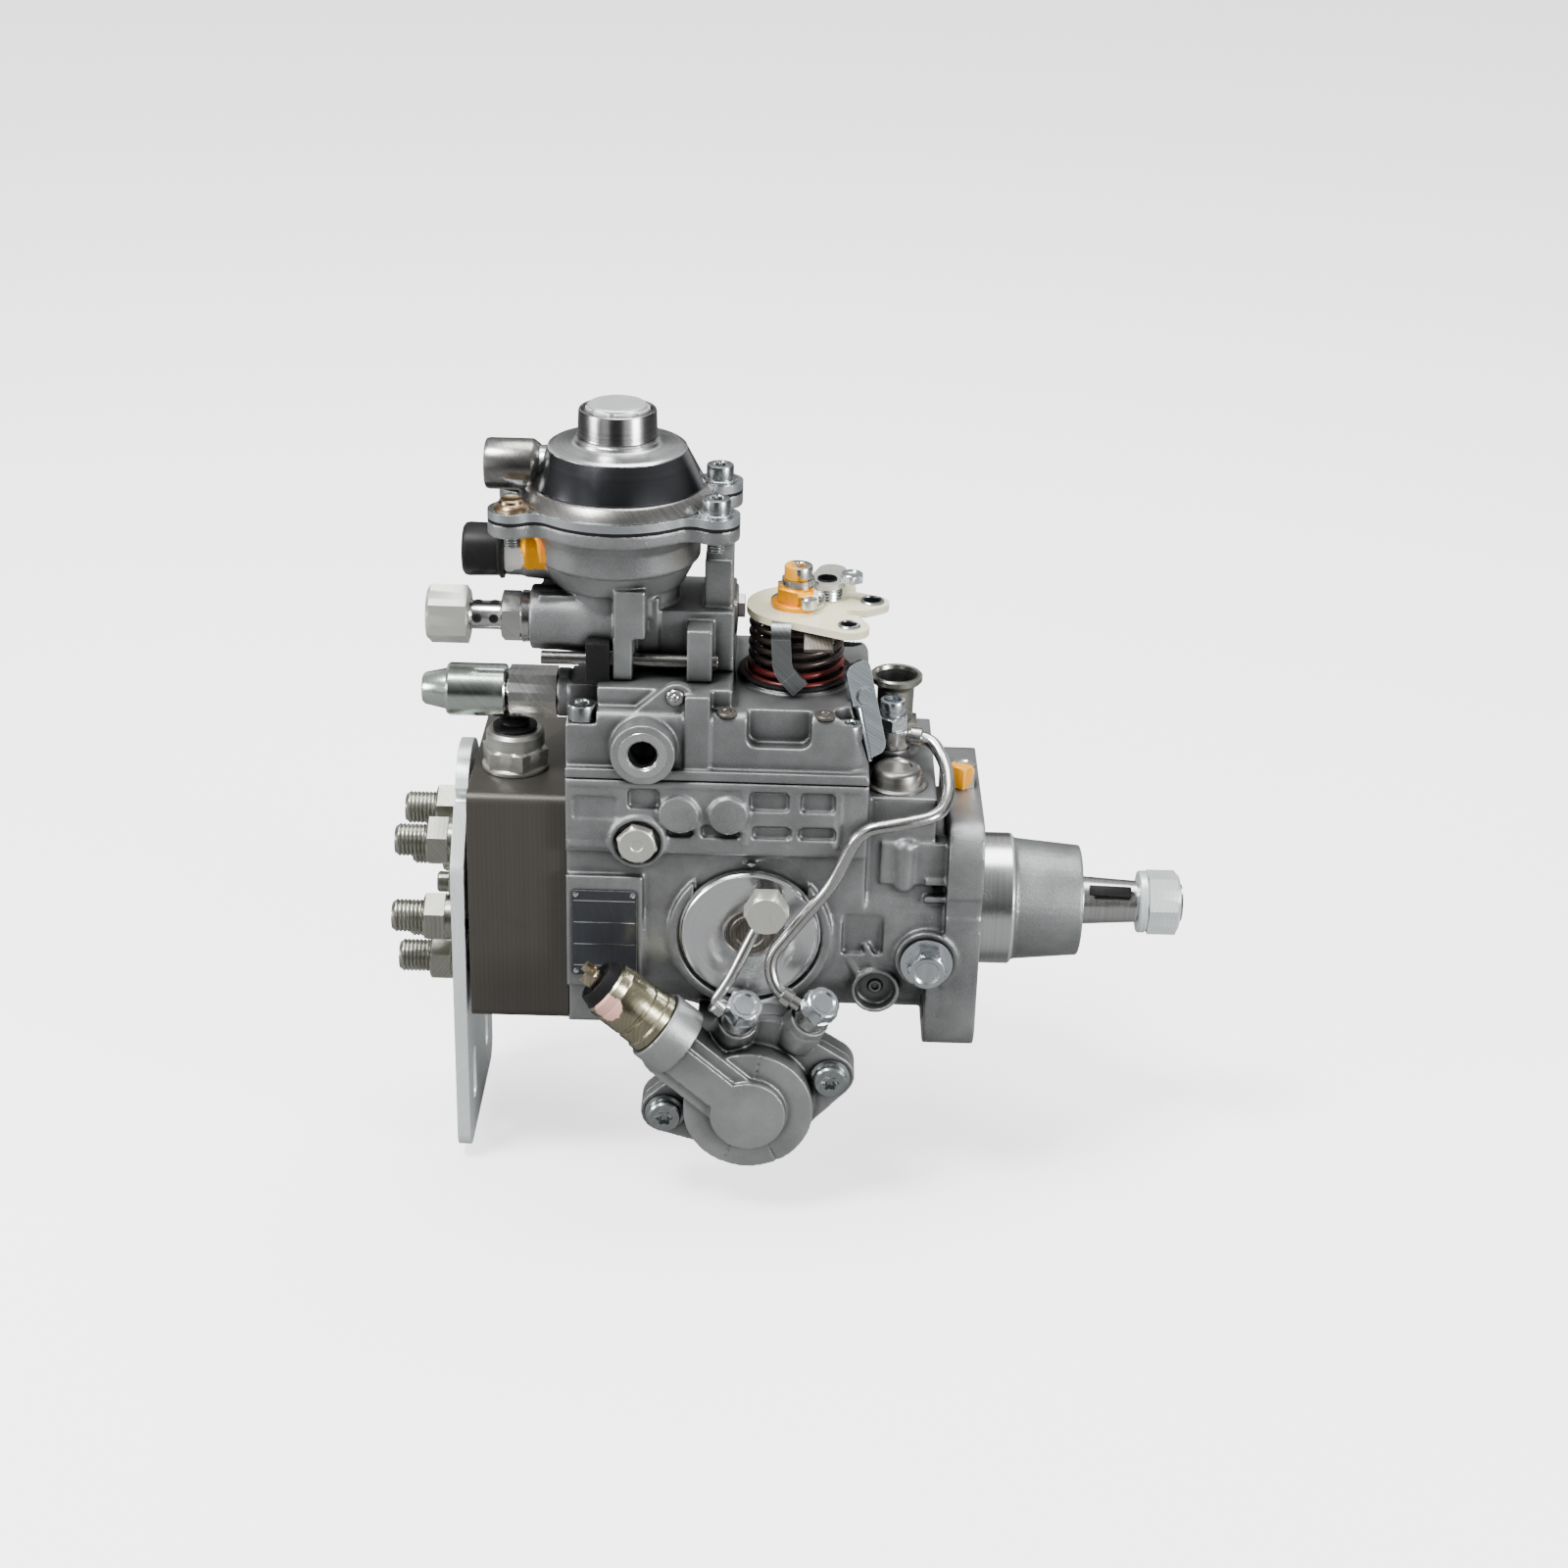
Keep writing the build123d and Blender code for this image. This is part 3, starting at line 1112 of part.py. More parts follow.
chamber_end_x = -175.0
solenoid_point = (-173.0, -11.0)
with BuildPart() as distributor_head:
    block((head_end_x, head_joint_x), (-head_half_width, head_half_width), (head_bottom_z, head_top_z))
    fillet(distributor_head.edges().filter_by(Axis.X), 4)
    cylinder(side.offset(head_joint_x), bore_radius, 11)
    cylinder(side.offset(head_joint_x + 11), 13, 4)
    cylinder(side.offset(head_end_x - 1.6), 34, 1.6)
    cylinder(side.offset(chamber_end_x), plunger_radius + fit, 60, Mode.SUBTRACT)
    for y in (-spring_pitch_y, spring_pitch_y):
        cylinder(Plane((head_joint_x, y, 0), z_dir=(1, 0, 0)).offset(11.0), 3, 1, Mode.SUBTRACT)
    for y, z in head_screw_points:
        cylinder(Plane((head_end_x, y, z), z_dir=(1, 0, 0)), 3 + fit, 40, Mode.SUBTRACT)
        cylinder(Plane((head_end_x, y, z), z_dir=(1, 0, 0)), 5.4, 8, Mode.SUBTRACT)
    with BuildSketch(side.offset(head_end_x - 1.6)) as outlet_bores:
        with PolarLocations(outlet_circle, outlets):
            Circle(6 + fit)
        Circle(7 + fit)
    extrude(amount=10, mode=Mode.SUBTRACT)
    cylinder(Plane((solenoid_point[0], solenoid_point[1], head_top_z)), 9 + fit, -14, Mode.SUBTRACT)
    cylinder(Plane((solenoid_point[0], solenoid_point[1], 0)), 3.5, head_top_z - 10, Mode.SUBTRACT)
distributor_head.part.label = "distributor_head"
export_step(distributor_head.part, "parts/distributor_head.step")

plate_x = head_end_x - 1.6 - plate_thickness
plate_bottom_z = -97.0
plate_top_z = 59.0
bracket_foot_y = head_half_width - 8
with BuildPart() as rear_bracket:
    with BuildSketch(side.offset(plate_x)):
        with Locations((0, plate_top_z - 20)):
            Circle(20)
        with Locations((-bracket_foot_y, 20), (bracket_foot_y, 20)):
            Circle(8)
        with Locations((-bracket_foot_y, plate_bottom_z + 8), (bracket_foot_y, plate_bottom_z + 8)):
            Circle(8)
        make_hull()
        with PolarLocations(outlet_circle, outlets):
            Circle(9.5, mode=Mode.SUBTRACT)
        Circle(9.5, mode=Mode.SUBTRACT)
        with Locations((-20, -72), (20, -72)):
            SlotOverall(22, 9, rotation=90, mode=Mode.SUBTRACT)
        with Locations((-19, 45), (19, 45)):
            Circle(3 + fit, mode=Mode.SUBTRACT)
    extrude(amount=plate_thickness)
rear_bracket.part.label = "rear_bracket"
export_step(rear_bracket.part, "parts/rear_bracket.step")

holder_hex_x = -198.0
holder_end_x = -218.0
with BuildPart() as delivery_valve_holders:
    for outlet in range(outlets):
        angle = radians(360 / outlets * outlet)
        y, z = outlet_circle * cos(angle), outlet_circle * sin(angle)
        holder = Plane((head_end_x - 1.6 + 9, y, z), z_dir=(-1, 0, 0))
        cylinder(holder, 6, 9)
        cylinder(holder.offset(9), 8.2, head_end_x - 1.6 - holder_hex_x)
        hexagon(Plane((holder_hex_x, y, z), z_dir=(-1, 0, 0)), 17, 8)
        cylinder(Plane((holder_hex_x - 8, y, z), z_dir=(-1, 0, 0)), 6, holder_hex_x - 8 - holder_end_x)
        cone(Plane((holder_end_x, y, z), z_dir=(1, 0, 0)), 4, 1.5, 4, Mode.SUBTRACT)
delivery_valve_holders.part.label = "delivery_valve_holders"
export_step(delivery_valve_holders.part, "parts/delivery_valve_holders.step")

with BuildPart() as shutoff_solenoid:
    stop_base = Plane((solenoid_point[0], solenoid_point[1], head_top_z))
    cylinder(stop_base.offset(-12), 9, 12)
    cylinder(stop_base, 12, 2)
    hexagon(stop_base.offset(2), 22, 7)
    cylinder(stop_base.offset(9), 10.5, 6)
    cylinder(stop_base.offset(15), 8, 2)
    cylinder(stop_base.offset(17), 3, 3)
    hexagon(stop_base.offset(17.6), 8, 2)
    cylinder(stop_base.offset(-12), 5.5, 14, Mode.SUBTRACT)
shutoff_solenoid.part.label = "shutoff_solenoid"
export_step(shutoff_solenoid.part, "parts/shutoff_solenoid.step")

with BuildPart() as solenoid_plunger:
    cylinder(stop_base.offset(-12), 5.2, 10)
    cylinder(stop_base.offset(-26), 3, 14)
    cone(stop_base.offset(-30), 1.5, 3, 4)
solenoid_plunger.part.label = "solenoid_plunger"
export_step(solenoid_plunger.part, "parts/solenoid_plunger.step")

# ---------------------------------------------------------------- plugs, screws, pipes and fittings

with BuildPart() as screw_plugs:
    centre_plug = Plane((head_end_x - 1.6 + 9, 0, 0), z_dir=(-1, 0, 0))
    cylinder(centre_plug, 7, 9)
    hexagon(centre_plug.offset(9), 15, 10)
    cylinder(centre_plug.offset(19), 4, 5)
    side_plug = Plane((hex_plug[0], -panel_y, hex_plug[1]), z_dir=(0, -1, 0))
    cylinder(side_plug, 6, -7)
    hexagon(side_plug, 14, 6)
    round_plug = Plane((core_plug[0], -panel_y, core_plug[1]), z_dir=(0, -1, 0))
    cylinder(round_plug, 7.5, -5)
    hexagon(round_plug, 4, -3, Mode.SUBTRACT)
    stop_plug = Plane((flange_stop[0], 0, flange_stop[1]), z_dir=(0, 0, 1))
    hexagon(stop_plug, 9, 9)
    cylinder(stop_plug, 3, -7)
screw_plugs.part.label = "screw_plugs"
export_step(screw_plugs.part, "parts/screw_plugs.step")

with BuildPart() as m6_screws:
    for x, y in corner_screws:
        seat_z = 80 if x > -100 else pad_top_z
        socket_screw(Plane((x, y, seat_z)), 5, 6, 3, seat_z - gasket_z + 12)
    for x in (boost_x - ear_x, boost_x + ear_x):
        for y in (-ear_y, ear_y):
            socket_screw(Plane((x, y, cover_bottom_z + 3)), 5, 6, 3, 15)
    for x, z in timing_ears:
        for out in (-1, 1):
            socket_screw(Plane((x, out * (timing_face_y + 5), z), z_dir=(0, out, 0)), 6, 4.5, 3, 15)
    for y, z in head_screw_points:
        socket_screw(Plane((head_end_x + 8, y, z), z_dir=(-1, 0, 0)), 5, 6, 3, 34)
m6_screws.part.label = "m6_screws"
export_step(m6_screws.part, "parts/m6_screws.step")

pipe_radius = 2.4
eye_radius = 6.5
eye_height = 7.0


def bend_radii(points, share=0.45):
    """The largest radius that each corner's two runs allow."""
    radii = []
    for before, corner, after in zip(points, points[1:], points[2:]):
        run_in = Vector(*corner) - Vector(*before)
        run_out = Vector(*after) - Vector(*corner)
        half_turn = radians(run_in.get_angle(run_out)) / 2
        radii.append(share * min(run_in.length, run_out.length) / tan(half_turn))
    return radii


def pipe(points, radius):
    with BuildLine() as route:
        FilletPolyline(*points, radius=bend_radii(points))
    with BuildSketch(Plane(route.wire() @ 0, z_dir=route.wire() % 0)) as section:
        Circle(radius)
    sweep(section.sketch, path=route.wire())


top_seat = Vector(pipe_port[0], pipe_port[1], port_seat_z)
top_axis = Vector(0, 0, 1)
window_seat = Vector(-78.6, -window_floor_y - 10, 22.9)
window_axis = Vector(0, -1, 0)
supply_route = (
    (-29.5, -6.5, 69.5),
    (-19.5, -8.0, 69.0),
    (-14.2, -18.0, 63.0),
    (-13.6, -32.0, 57.5),
    (-17.5, -44.5, 55.0),
    (-30.0, -48.0, 53.2),
    (-45.5, -48.5, 50.5),
    (-51.0, -48.5, 38.0),
    (-56.0, -49.0, 27.0),
    (-67.0, -51.0, 13.4),
    (-77.5, -54.0, 0.0),
    (-75.0, -57.5, -10.5),
    (-65.5, -60.6, -15.5),
)
transfer_route = (
    (-79.5, -53.2, 18.5),
    (-85.5, -56.5, 6.0),
    (-91.5, -60.5, -6.0),
    (-97.0, -61.9, -14.5),
    (-92.5, -61.9, -18.4),
)
with BuildPart() as fuel_pipes:
    pipe(supply_route, pipe_radius)
    pipe(transfer_route, pipe_radius - 0.4)
    for seat, axis in (
        (top_seat, top_axis),
        (window_seat, window_axis),
        (left_banjo, left_banjo_axis),
        (right_banjo, right_banjo_axis),
    ):
        cylinder(Plane(seat, z_dir=axis), eye_radius, eye_height)
        cylinder(Plane(seat, z_dir=axis), 3 + fit, eye_height, Mode.SUBTRACT)
fuel_pipes.part.label = "fuel_pipes"
export_step(fuel_pipes.part, "parts/fuel_pipes.step")

with BuildPart() as hex_bolts:
    for seat, axis in (
        (top_seat, top_axis),
        (left_banjo, left_banjo_axis),
        (right_banjo, right_banjo_axis),
    ):
        hex_screw(Plane(seat + axis * eye_height, z_dir=axis), 11, 6, 3, eye_height + 8)
    hex_screw(Plane(window_seat + window_axis * eye_height, z_dir=window_axis), 13, 9, 3, eye_height + 6)
    hex_screw(Plane((lock_bolt[0], -lock_seat_y, lock_bolt[1]), z_dir=(0, -1, 0)), 13, 8, 5, 8, 10)
hex_bolts.part.label = "hex_bolts"
export_step(hex_bolts.part, "parts/hex_bolts.step")

with BuildPart() as return_union:
    union = Plane((return_port[0], return_port[1], port_seat_z))
    cylinder(union, 4.5, -12)
    cylinder(union, 6.5, 19)
    cylinder(union.offset(19), 9.7, 3)
    cone(union.offset(16), 4.5, 7.5, 6, Mode.SUBTRACT)
    cylinder(union.offset(6), 4.5, 12, Mode.SUBTRACT)
return_union.part.label = "return_union"
export_step(return_union.part, "parts/return_union.step")

with BuildPart() as regulating_valve:
    valve = Plane((regulator[0], regulator[1], shoulder_z + 1))
    cylinder(valve, 6, -15)
    cylinder(valve, 8.5, 2)
    cylinder(valve.offset(2), 7, 5)
    hexagon(valve.offset(7), 8, -4, Mode.SUBTRACT)
regulating_valve.part.label = "regulating_valve"
export_step(regulating_valve.part, "parts/regulating_valve.step")

with BuildPart() as data_plate:
    with BuildSketch(front.offset(panel_y)) as plate_outline:
        with Locations((head_joint_x + 14, 3)):
            RectangleRounded(24, 35, 1.5)
    extrude(amount=0.6)
data_plate.part.label = "data_plate"
export_step(data_plate.part, "parts/data_plate.step")
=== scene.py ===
import json
from math import atan2, cos, pi, radians, sin

import bmesh
import bpy
from mathutils import Matrix, Vector


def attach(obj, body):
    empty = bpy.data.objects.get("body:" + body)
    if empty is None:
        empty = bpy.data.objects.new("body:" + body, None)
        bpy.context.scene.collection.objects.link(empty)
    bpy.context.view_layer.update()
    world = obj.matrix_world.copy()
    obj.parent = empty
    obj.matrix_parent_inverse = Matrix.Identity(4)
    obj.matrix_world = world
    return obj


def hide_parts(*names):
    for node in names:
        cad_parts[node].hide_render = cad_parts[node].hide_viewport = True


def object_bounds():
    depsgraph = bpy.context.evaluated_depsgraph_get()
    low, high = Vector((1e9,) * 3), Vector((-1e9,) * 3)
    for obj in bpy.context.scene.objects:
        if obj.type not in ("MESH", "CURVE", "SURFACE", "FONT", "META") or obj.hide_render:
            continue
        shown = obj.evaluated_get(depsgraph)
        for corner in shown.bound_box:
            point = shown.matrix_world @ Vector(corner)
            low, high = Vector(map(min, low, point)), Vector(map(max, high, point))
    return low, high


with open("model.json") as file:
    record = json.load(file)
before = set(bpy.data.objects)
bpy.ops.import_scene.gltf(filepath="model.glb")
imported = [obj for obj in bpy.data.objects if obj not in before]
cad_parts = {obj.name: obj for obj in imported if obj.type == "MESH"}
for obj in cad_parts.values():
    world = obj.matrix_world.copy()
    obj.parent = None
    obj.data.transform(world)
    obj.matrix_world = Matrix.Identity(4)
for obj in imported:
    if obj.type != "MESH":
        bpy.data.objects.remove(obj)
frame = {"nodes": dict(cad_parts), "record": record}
cadLow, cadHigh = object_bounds()
nodes = frame["nodes"]
mm = 0.001  # metres in a millimetre
up, toNut, toHead, toPlateSide = (0, 0, 1), (1, 0, 0), (-1, 0, 0), (0, -1, 0)
print("frame loaded:", len(nodes), "nodes")

cameraSet = {
    "place": (-0.0736, -0.9003, 0.4651),
    "pitch": 25.0,  # degrees below the horizon
    "roll": 1.65,
    "lens": 60.75,
    "sensor": 36.0,
    "near": 0.01,
    "far": 20.0,
}


def makeCamera(s):
    data = bpy.data.cameras.new("camera")
    data.lens = s["lens"]
    data.sensor_width = s["sensor"]
    data.clip_start = s["near"]
    data.clip_end = s["far"]
    cam = bpy.data.objects.new("camera", data)
    tilt = Matrix.Rotation(radians(90 - s["pitch"]), 4, "X")
    roll = Matrix.Rotation(radians(s["roll"]), 4, "Z")
    cam.matrix_world = Matrix.Translation(s["place"]) @ tilt @ roll
    bpy.context.scene.collection.objects.link(cam)
    bpy.context.scene.camera = cam


makeCamera(cameraSet)


# helpers for node trees: a value may be a number, a colour or another node's output
def feed(tree, value, socket):
    if isinstance(value, bpy.types.NodeSocket):
        tree.links.new(value, socket)
    elif socket.type == "RGBA":
        socket.default_value = (*value[:3], 1.0)
    else:
        socket.default_value = value


def addNode(tree, kind, **values):
    # a name that is no input is one of the node's own settings
    node = tree.nodes.new(kind)
    for name, value in values.items():
        if name in node.inputs:
            feed(tree, value, node.inputs[name])
        else:
            setattr(node, name, value)
    return node


def objectPlace(tree):
    return addNode(tree, "ShaderNodeTexCoord").outputs["Object"]


def noiseOf(tree, **values):
    # fractal noise on the object's own coordinates
    return addNode(tree, "ShaderNodeTexNoise", Vector=objectPlace(tree), **values).outputs["Fac"]


def maths(tree, operation, *values):
    node = addNode(tree, "ShaderNodeMath", operation=operation)
    for value, socket in zip(values, node.inputs):
        feed(tree, value, socket)
    return node.outputs[0]


def vectorMaths(tree, operation, first, second=(0, 0, 0), result="Vector"):
    node = addNode(tree, "ShaderNodeVectorMath", operation=operation)
    feed(tree, first, node.inputs[0])
    feed(tree, second, node.inputs[1])
    return node.outputs[result]


def mixColour(tree, factor, first, second, blend="MIX"):
    node = addNode(tree, "ShaderNodeMix", data_type="RGBA", blend_type=blend)
    for value, socket in ((factor, 0), (first, 6), (second, 7)):
        feed(tree, value, node.inputs[socket])
    return node.outputs[2]


def remap(tree, value, low, high, toLow=0.0, toHigh=1.0):
    node = addNode(tree, "ShaderNodeMapRange")
    for number, socket in zip((value, low, high, toLow, toHigh), node.inputs):
        feed(tree, number, socket)
    return node.outputs[0]


def bumpNormal(tree, height, strength, distance):
    bump = addNode(tree, "ShaderNodeBump", Height=height, Strength=strength, Distance=distance)
    return bump.outputs["Normal"]


def makeGroup(name, inputs, outputs, wire):
    # wire fills the group and gives back its outputs by name
    tree = bpy.data.node_groups.new(name, "ShaderNodeTree")
    for label, value in inputs.items():
        kind = {4: "Color", 3: "Vector"}[len(value)] if isinstance(value, tuple) else "Float"
        socket = tree.interface.new_socket(label, in_out="INPUT", socket_type="NodeSocket" + kind)
        socket.default_value = value
    for label, kind in outputs.items():
        tree.interface.new_socket(label, in_out="OUTPUT", socket_type="NodeSocket" + kind)
    given = tree.nodes.new("NodeGroupInput").outputs
    result = tree.nodes.new("NodeGroupOutput").inputs
    for label, value in wire(tree, given).items():
        feed(tree, value, result[label])
    return tree


skinSet = {
    "cloudScale": 38.0, "pitScale": 700.0, "grainShare": 0.4, "pitShare": 0.35, "pitDepth": 0.6,
    # reach of the painted shade that ambient occlusion puts into tight corners
    "creaseShadeReach": 0.0034,  # metres, for the tight corners
    "unevenGloss": 0.07, "bump": 0.0002,
}


def castSkin(tree, given):
    # blasted die-cast skin: slow clouds of tone, fine grain, darker pits, and painted shade darkening the
    # hollows and creases
    s = skinSet
    cloud = noiseOf(tree, Scale=s["cloudScale"], Detail=5.0, Roughness=0.6)
    grain = noiseOf(tree, Scale=given["Grain"], Detail=3.0, Roughness=0.7)
    pits = addNode(tree, "ShaderNodeTexVoronoi", Vector=objectPlace(tree), Scale=s["pitScale"])
    pitMask = remap(tree, pits.outputs["Distance"], 0.08, 0.22, 1.0, 0.0)
    grainTone = remap(tree, grain, 0.3, 0.7)
    cloudTone = remap(tree, cloud, 0.32, 0.68)
    clouds = maths(tree, "MULTIPLY", cloudTone, 1.0 - s["grainShare"])
    tone = maths(tree, "MULTIPLY_ADD", grainTone, s["grainShare"], clouds)
    colour = mixColour(tree, tone, given["Dark"], given["Light"])
    pitted = mixColour(tree, maths(tree, "MULTIPLY", pitMask, s["pitShare"]), colour, given["Dark"])
    # painted shade: ambient occlusion darkens the colour in broad hollows and in tight creases
    hollow = addNode(tree, "ShaderNodeAmbientOcclusion", samples=6, Distance=given["Reach"]).outputs["AO"]
    crease = addNode(tree, "ShaderNodeAmbientOcclusion", samples=6, Distance=s["creaseShadeReach"]).outputs["AO"]
    broadPaintedShade = remap(tree, hollow, 0.34, 0.90, 0.16, 1.0)
    narrowPaintedShade = remap(tree, crease, 0.55, 0.92, 0.18, 1.0)
    gloss = remap(tree, cloud, 0.3, 0.7, -s["unevenGloss"], s["unevenGloss"])
    height = maths(tree, "SUBTRACT", grain, maths(tree, "MULTIPLY", pitMask, s["pitDepth"]))
    return {
        "Color": mixColour(tree, 1.0, pitted, maths(tree, "MULTIPLY", broadPaintedShade, narrowPaintedShade), "MULTIPLY"),
        "Open": remap(tree, hollow, 0.80, 0.97),
        "Roughness": maths(tree, "ADD", given["Roughness"], gloss),
        "Normal": bumpNormal(tree, height, given["Relief"], s["bump"]),
    }


def edgeWear(tree, given):
    # 1 along outer edges, where the bevelled normal leaves the true one
    shape = addNode(tree, "ShaderNodeNewGeometry")
    soft = addNode(tree, "ShaderNodeBevel", samples=4, Radius=given["Width"])
    noise = noiseOf(tree, Scale=given["Breakup"], Detail=4.0, Roughness=0.7)
    likeness = vectorMaths(tree, "DOT_PRODUCT", soft.outputs[0], shape.outputs["Normal"], "Value")
    edge = remap(tree, likeness, 0.995, 0.86)
    return {"Mask": maths(tree, "MULTIPLY", edge, remap(tree, noise, 0.32, 0.6, 0.25, 1.0))}


def boxZone(tree, given):
    # 1 inside a box with a soft rim, to tell machined faces from cast ones
    place = objectPlace(tree)
    depth = None
    for far, near in ((place, given["Low"]), (given["High"], place)):
        parts = addNode(tree, "ShaderNodeSeparateXYZ", Vector=vectorMaths(tree, "SUBTRACT", far, near))
        for part in parts.outputs:
            depth = part if depth is None else maths(tree, "MINIMUM", depth, part)
    return {"Mask": remap(tree, depth, 0.0, given["Rim"])}


markSet = {"slowTone": 0.37, "waveShare": 0.18, "bump": 0.0001}


def toolMarks(tree, given):
    # lathe and milling lines round an axis, with uneven tone
    s = markSet
    offset = vectorMaths(tree, "SUBTRACT", objectPlace(tree), given["Centre"])
    along = vectorMaths(tree, "DOT_PRODUCT", offset, given["Axis"], "Value")
    outward = vectorMaths(tree, "CROSS_PRODUCT", offset, given["Axis"])
    across = vectorMaths(tree, "LENGTH", outward, result="Value")
    turns = maths(tree, "DIVIDE", maths(tree, "ADD", along, across), given["Pitch"])
    waves = maths(tree, "SINE", maths(tree, "MULTIPLY", turns, 2 * pi))
    seed = addNode(tree, "ShaderNodeTexNoise", noise_dimensions="1D", Scale=1.0, Detail=4.0, Roughness=0.75,
                   W=maths(tree, "MULTIPLY", turns, s["slowTone"]))
    lines = maths(tree, "MULTIPLY_ADD", waves, s["waveShare"], seed.outputs["Fac"])
    return {"Tone": remap(tree, lines, 0.25, 0.75),
            "Normal": bumpNormal(tree, lines, given["Relief"], s["bump"])}


def paintSpot(tree, given):
    # a dab of marking paint with a ragged rim
    noise = noiseOf(tree, Scale=420.0, Detail=4.0, Roughness=0.65)
    offset = vectorMaths(tree, "SUBTRACT", objectPlace(tree), given["Centre"])
    share = maths(tree, "DIVIDE", vectorMaths(tree, "LENGTH", offset, result="Value"), given["Radius"])
    uneven = maths(tree, "SUBTRACT", noise, 0.5)
    wobble = maths(tree, "MULTIPLY", uneven, given["Ragged"])
    return {"Mask": remap(tree, maths(tree, "MULTIPLY_ADD", wobble, 2.0, share), 1.03, 0.97)}


def oilFilm(tree, given):
    # thin uneven film that darkens and glosses a surface here and there
    noise = noiseOf(tree, Scale=given["Scale"], Detail=6.0, Roughness=0.62, Distortion=0.6)
    low = maths(tree, "SUBTRACT", 1.0, given["Cover"])
    return {"Mask": remap(tree, noise, low, maths(tree, "ADD", low, 0.25))}


origin = (0.0, 0.0, 0.0)
mask = {"Mask": "Float"}
groupPlan = {
    # name: inputs, outputs, the function that fills it
    "castSkin": (
        {"Light": (0.5, 0.5, 0.5, 1.0), "Dark": (0.3, 0.3, 0.3, 1.0), "Grain": 2200.0, "Relief": 0.25,
         "Roughness": 0.5, "Reach": 0.013},
        {"Color": "Color", "Roughness": "Float", "Normal": "Vector", "Open": "Float"}, castSkin),
    "edgeWear": ({"Width": 0.0006, "Breakup": 400.0}, mask, edgeWear),
    "boxZone": ({"Low": origin, "High": origin, "Rim": 0.0002}, mask, boxZone),
    "toolMarks": ({"Centre": origin, "Axis": (1.0, 0.0, 0.0), "Pitch": 0.0006, "Relief": 0.1},
                  {"Tone": "Float", "Normal": "Vector"}, toolMarks),
    "paintSpot": ({"Centre": origin, "Radius": 0.004, "Ragged": 0.35}, mask, paintSpot),
    "oilFilm": ({"Scale": 45.0, "Cover": 0.5}, mask, oilFilm),
}
groups = {name: makeGroup(name, *plan) for name, plan in groupPlan.items()}
print("shared effects made")


def useGroup(tree, name, **values):
    node = tree.nodes.new("ShaderNodeGroup")
    node.node_tree = groups[name]
    for label, value in values.items():
        feed(tree, value, node.inputs[label])
    return node


def metres(place):
    return tuple(value * mm for value in place)


def newFinish(name, metallic, specular=0.5):
    material = bpy.data.materials.new(name)
    material.use_nodes = True
    tree = material.node_tree
    shader = tree.nodes["Principled BSDF"]
    shader.inputs["Metallic"].default_value = metallic
    shader.inputs["Specular IOR Level"].default_value = specular
    return material, tree, shader


def dressShader(tree, shader, colour, rough, normal):
    for value, label in ((colour, "Base Color"), (rough, "Roughness"), (normal, "Normal")):
        tree.links.new(value, shader.inputs[label])


castLook = {
    "metallic": 0.72, "light": (0.315, 0.322, 0.325), "dark": (0.150, 0.155, 0.157),
    "stain": (0.10, 0.10, 0.096), "worn": (0.66, 0.67, 0.67), "cut": (0.50, 0.50, 0.50),
    "cutLight": (0.76, 0.77, 0.77), "grain": 2000.0, "relief": 0.5, "roughness": 0.38, "edge": 0.9,
    "filmShare": 0.35, "wearShare": 0.7, "wearGloss": 0.12,
    "cutRoughness": 0.3, "cutPitch": 0.5, "cutRelief": 0.25,
}


def castFinish(name, machined=(), paint=(), **changes):
    # machined: boxes of turned or milled faces; paint: dabs of marking paint
    s = {**castLook, **changes}
    material, tree, shader = newFinish(name, s["metallic"])
    skin = useGroup(tree, "castSkin", Light=s["light"], Dark=s["dark"], Grain=s["grain"], Relief=s["relief"],
                    Roughness=s["roughness"])
    wear = useGroup(tree, "edgeWear", Width=s["edge"] * mm, Breakup=500.0).outputs[0]
    film = useGroup(tree, "oilFilm", Scale=30.0, Cover=0.42).outputs[0]
    colour = mixColour(tree, maths(tree, "MULTIPLY", film, s["filmShare"]), skin.outputs["Color"], s["stain"])
    corner = maths(tree, "MULTIPLY", wear, skin.outputs["Open"])
    colour = mixColour(tree, maths(tree, "MULTIPLY", corner, s["wearShare"]), colour, s["worn"])
    rough = maths(tree, "SUBTRACT", skin.outputs["Roughness"], maths(tree, "MULTIPLY", wear, s["wearGloss"]))
    normal = skin.outputs["Normal"]
    for low, high, centre, axis in machined:
        zone = useGroup(tree, "boxZone", Low=metres(low), High=metres(high)).outputs[0]
        marks = useGroup(tree, "toolMarks", Centre=metres(centre), Axis=axis, Pitch=s["cutPitch"] * mm,
                         Relief=s["cutRelief"])
        bright = mixColour(tree, marks.outputs["Tone"], s["cut"], s["cutLight"])
        colour = mixColour(tree, zone, colour, bright)
        rough = maths(tree, "MULTIPLY_ADD", zone, maths(tree, "SUBTRACT", s["cutRoughness"], rough), rough)
        blend = addNode(tree, "ShaderNodeMix", data_type="VECTOR")
        for value, socket in ((zone, 0), (normal, 4), (marks.outputs["Normal"], 5)):
            feed(tree, value, blend.inputs[socket])
        normal = blend.outputs[1]
    for centre, radius, tone in paint:
        spot = useGroup(tree, "paintSpot", Centre=metres(centre), Radius=radius * mm).outputs[0]
        colour = mixColour(tree, spot, colour, tone)
    dressShader(tree, shader, colour, rough, normal)
    return material


paintSet = {"roughness": 0.45, "cover": 0.9}


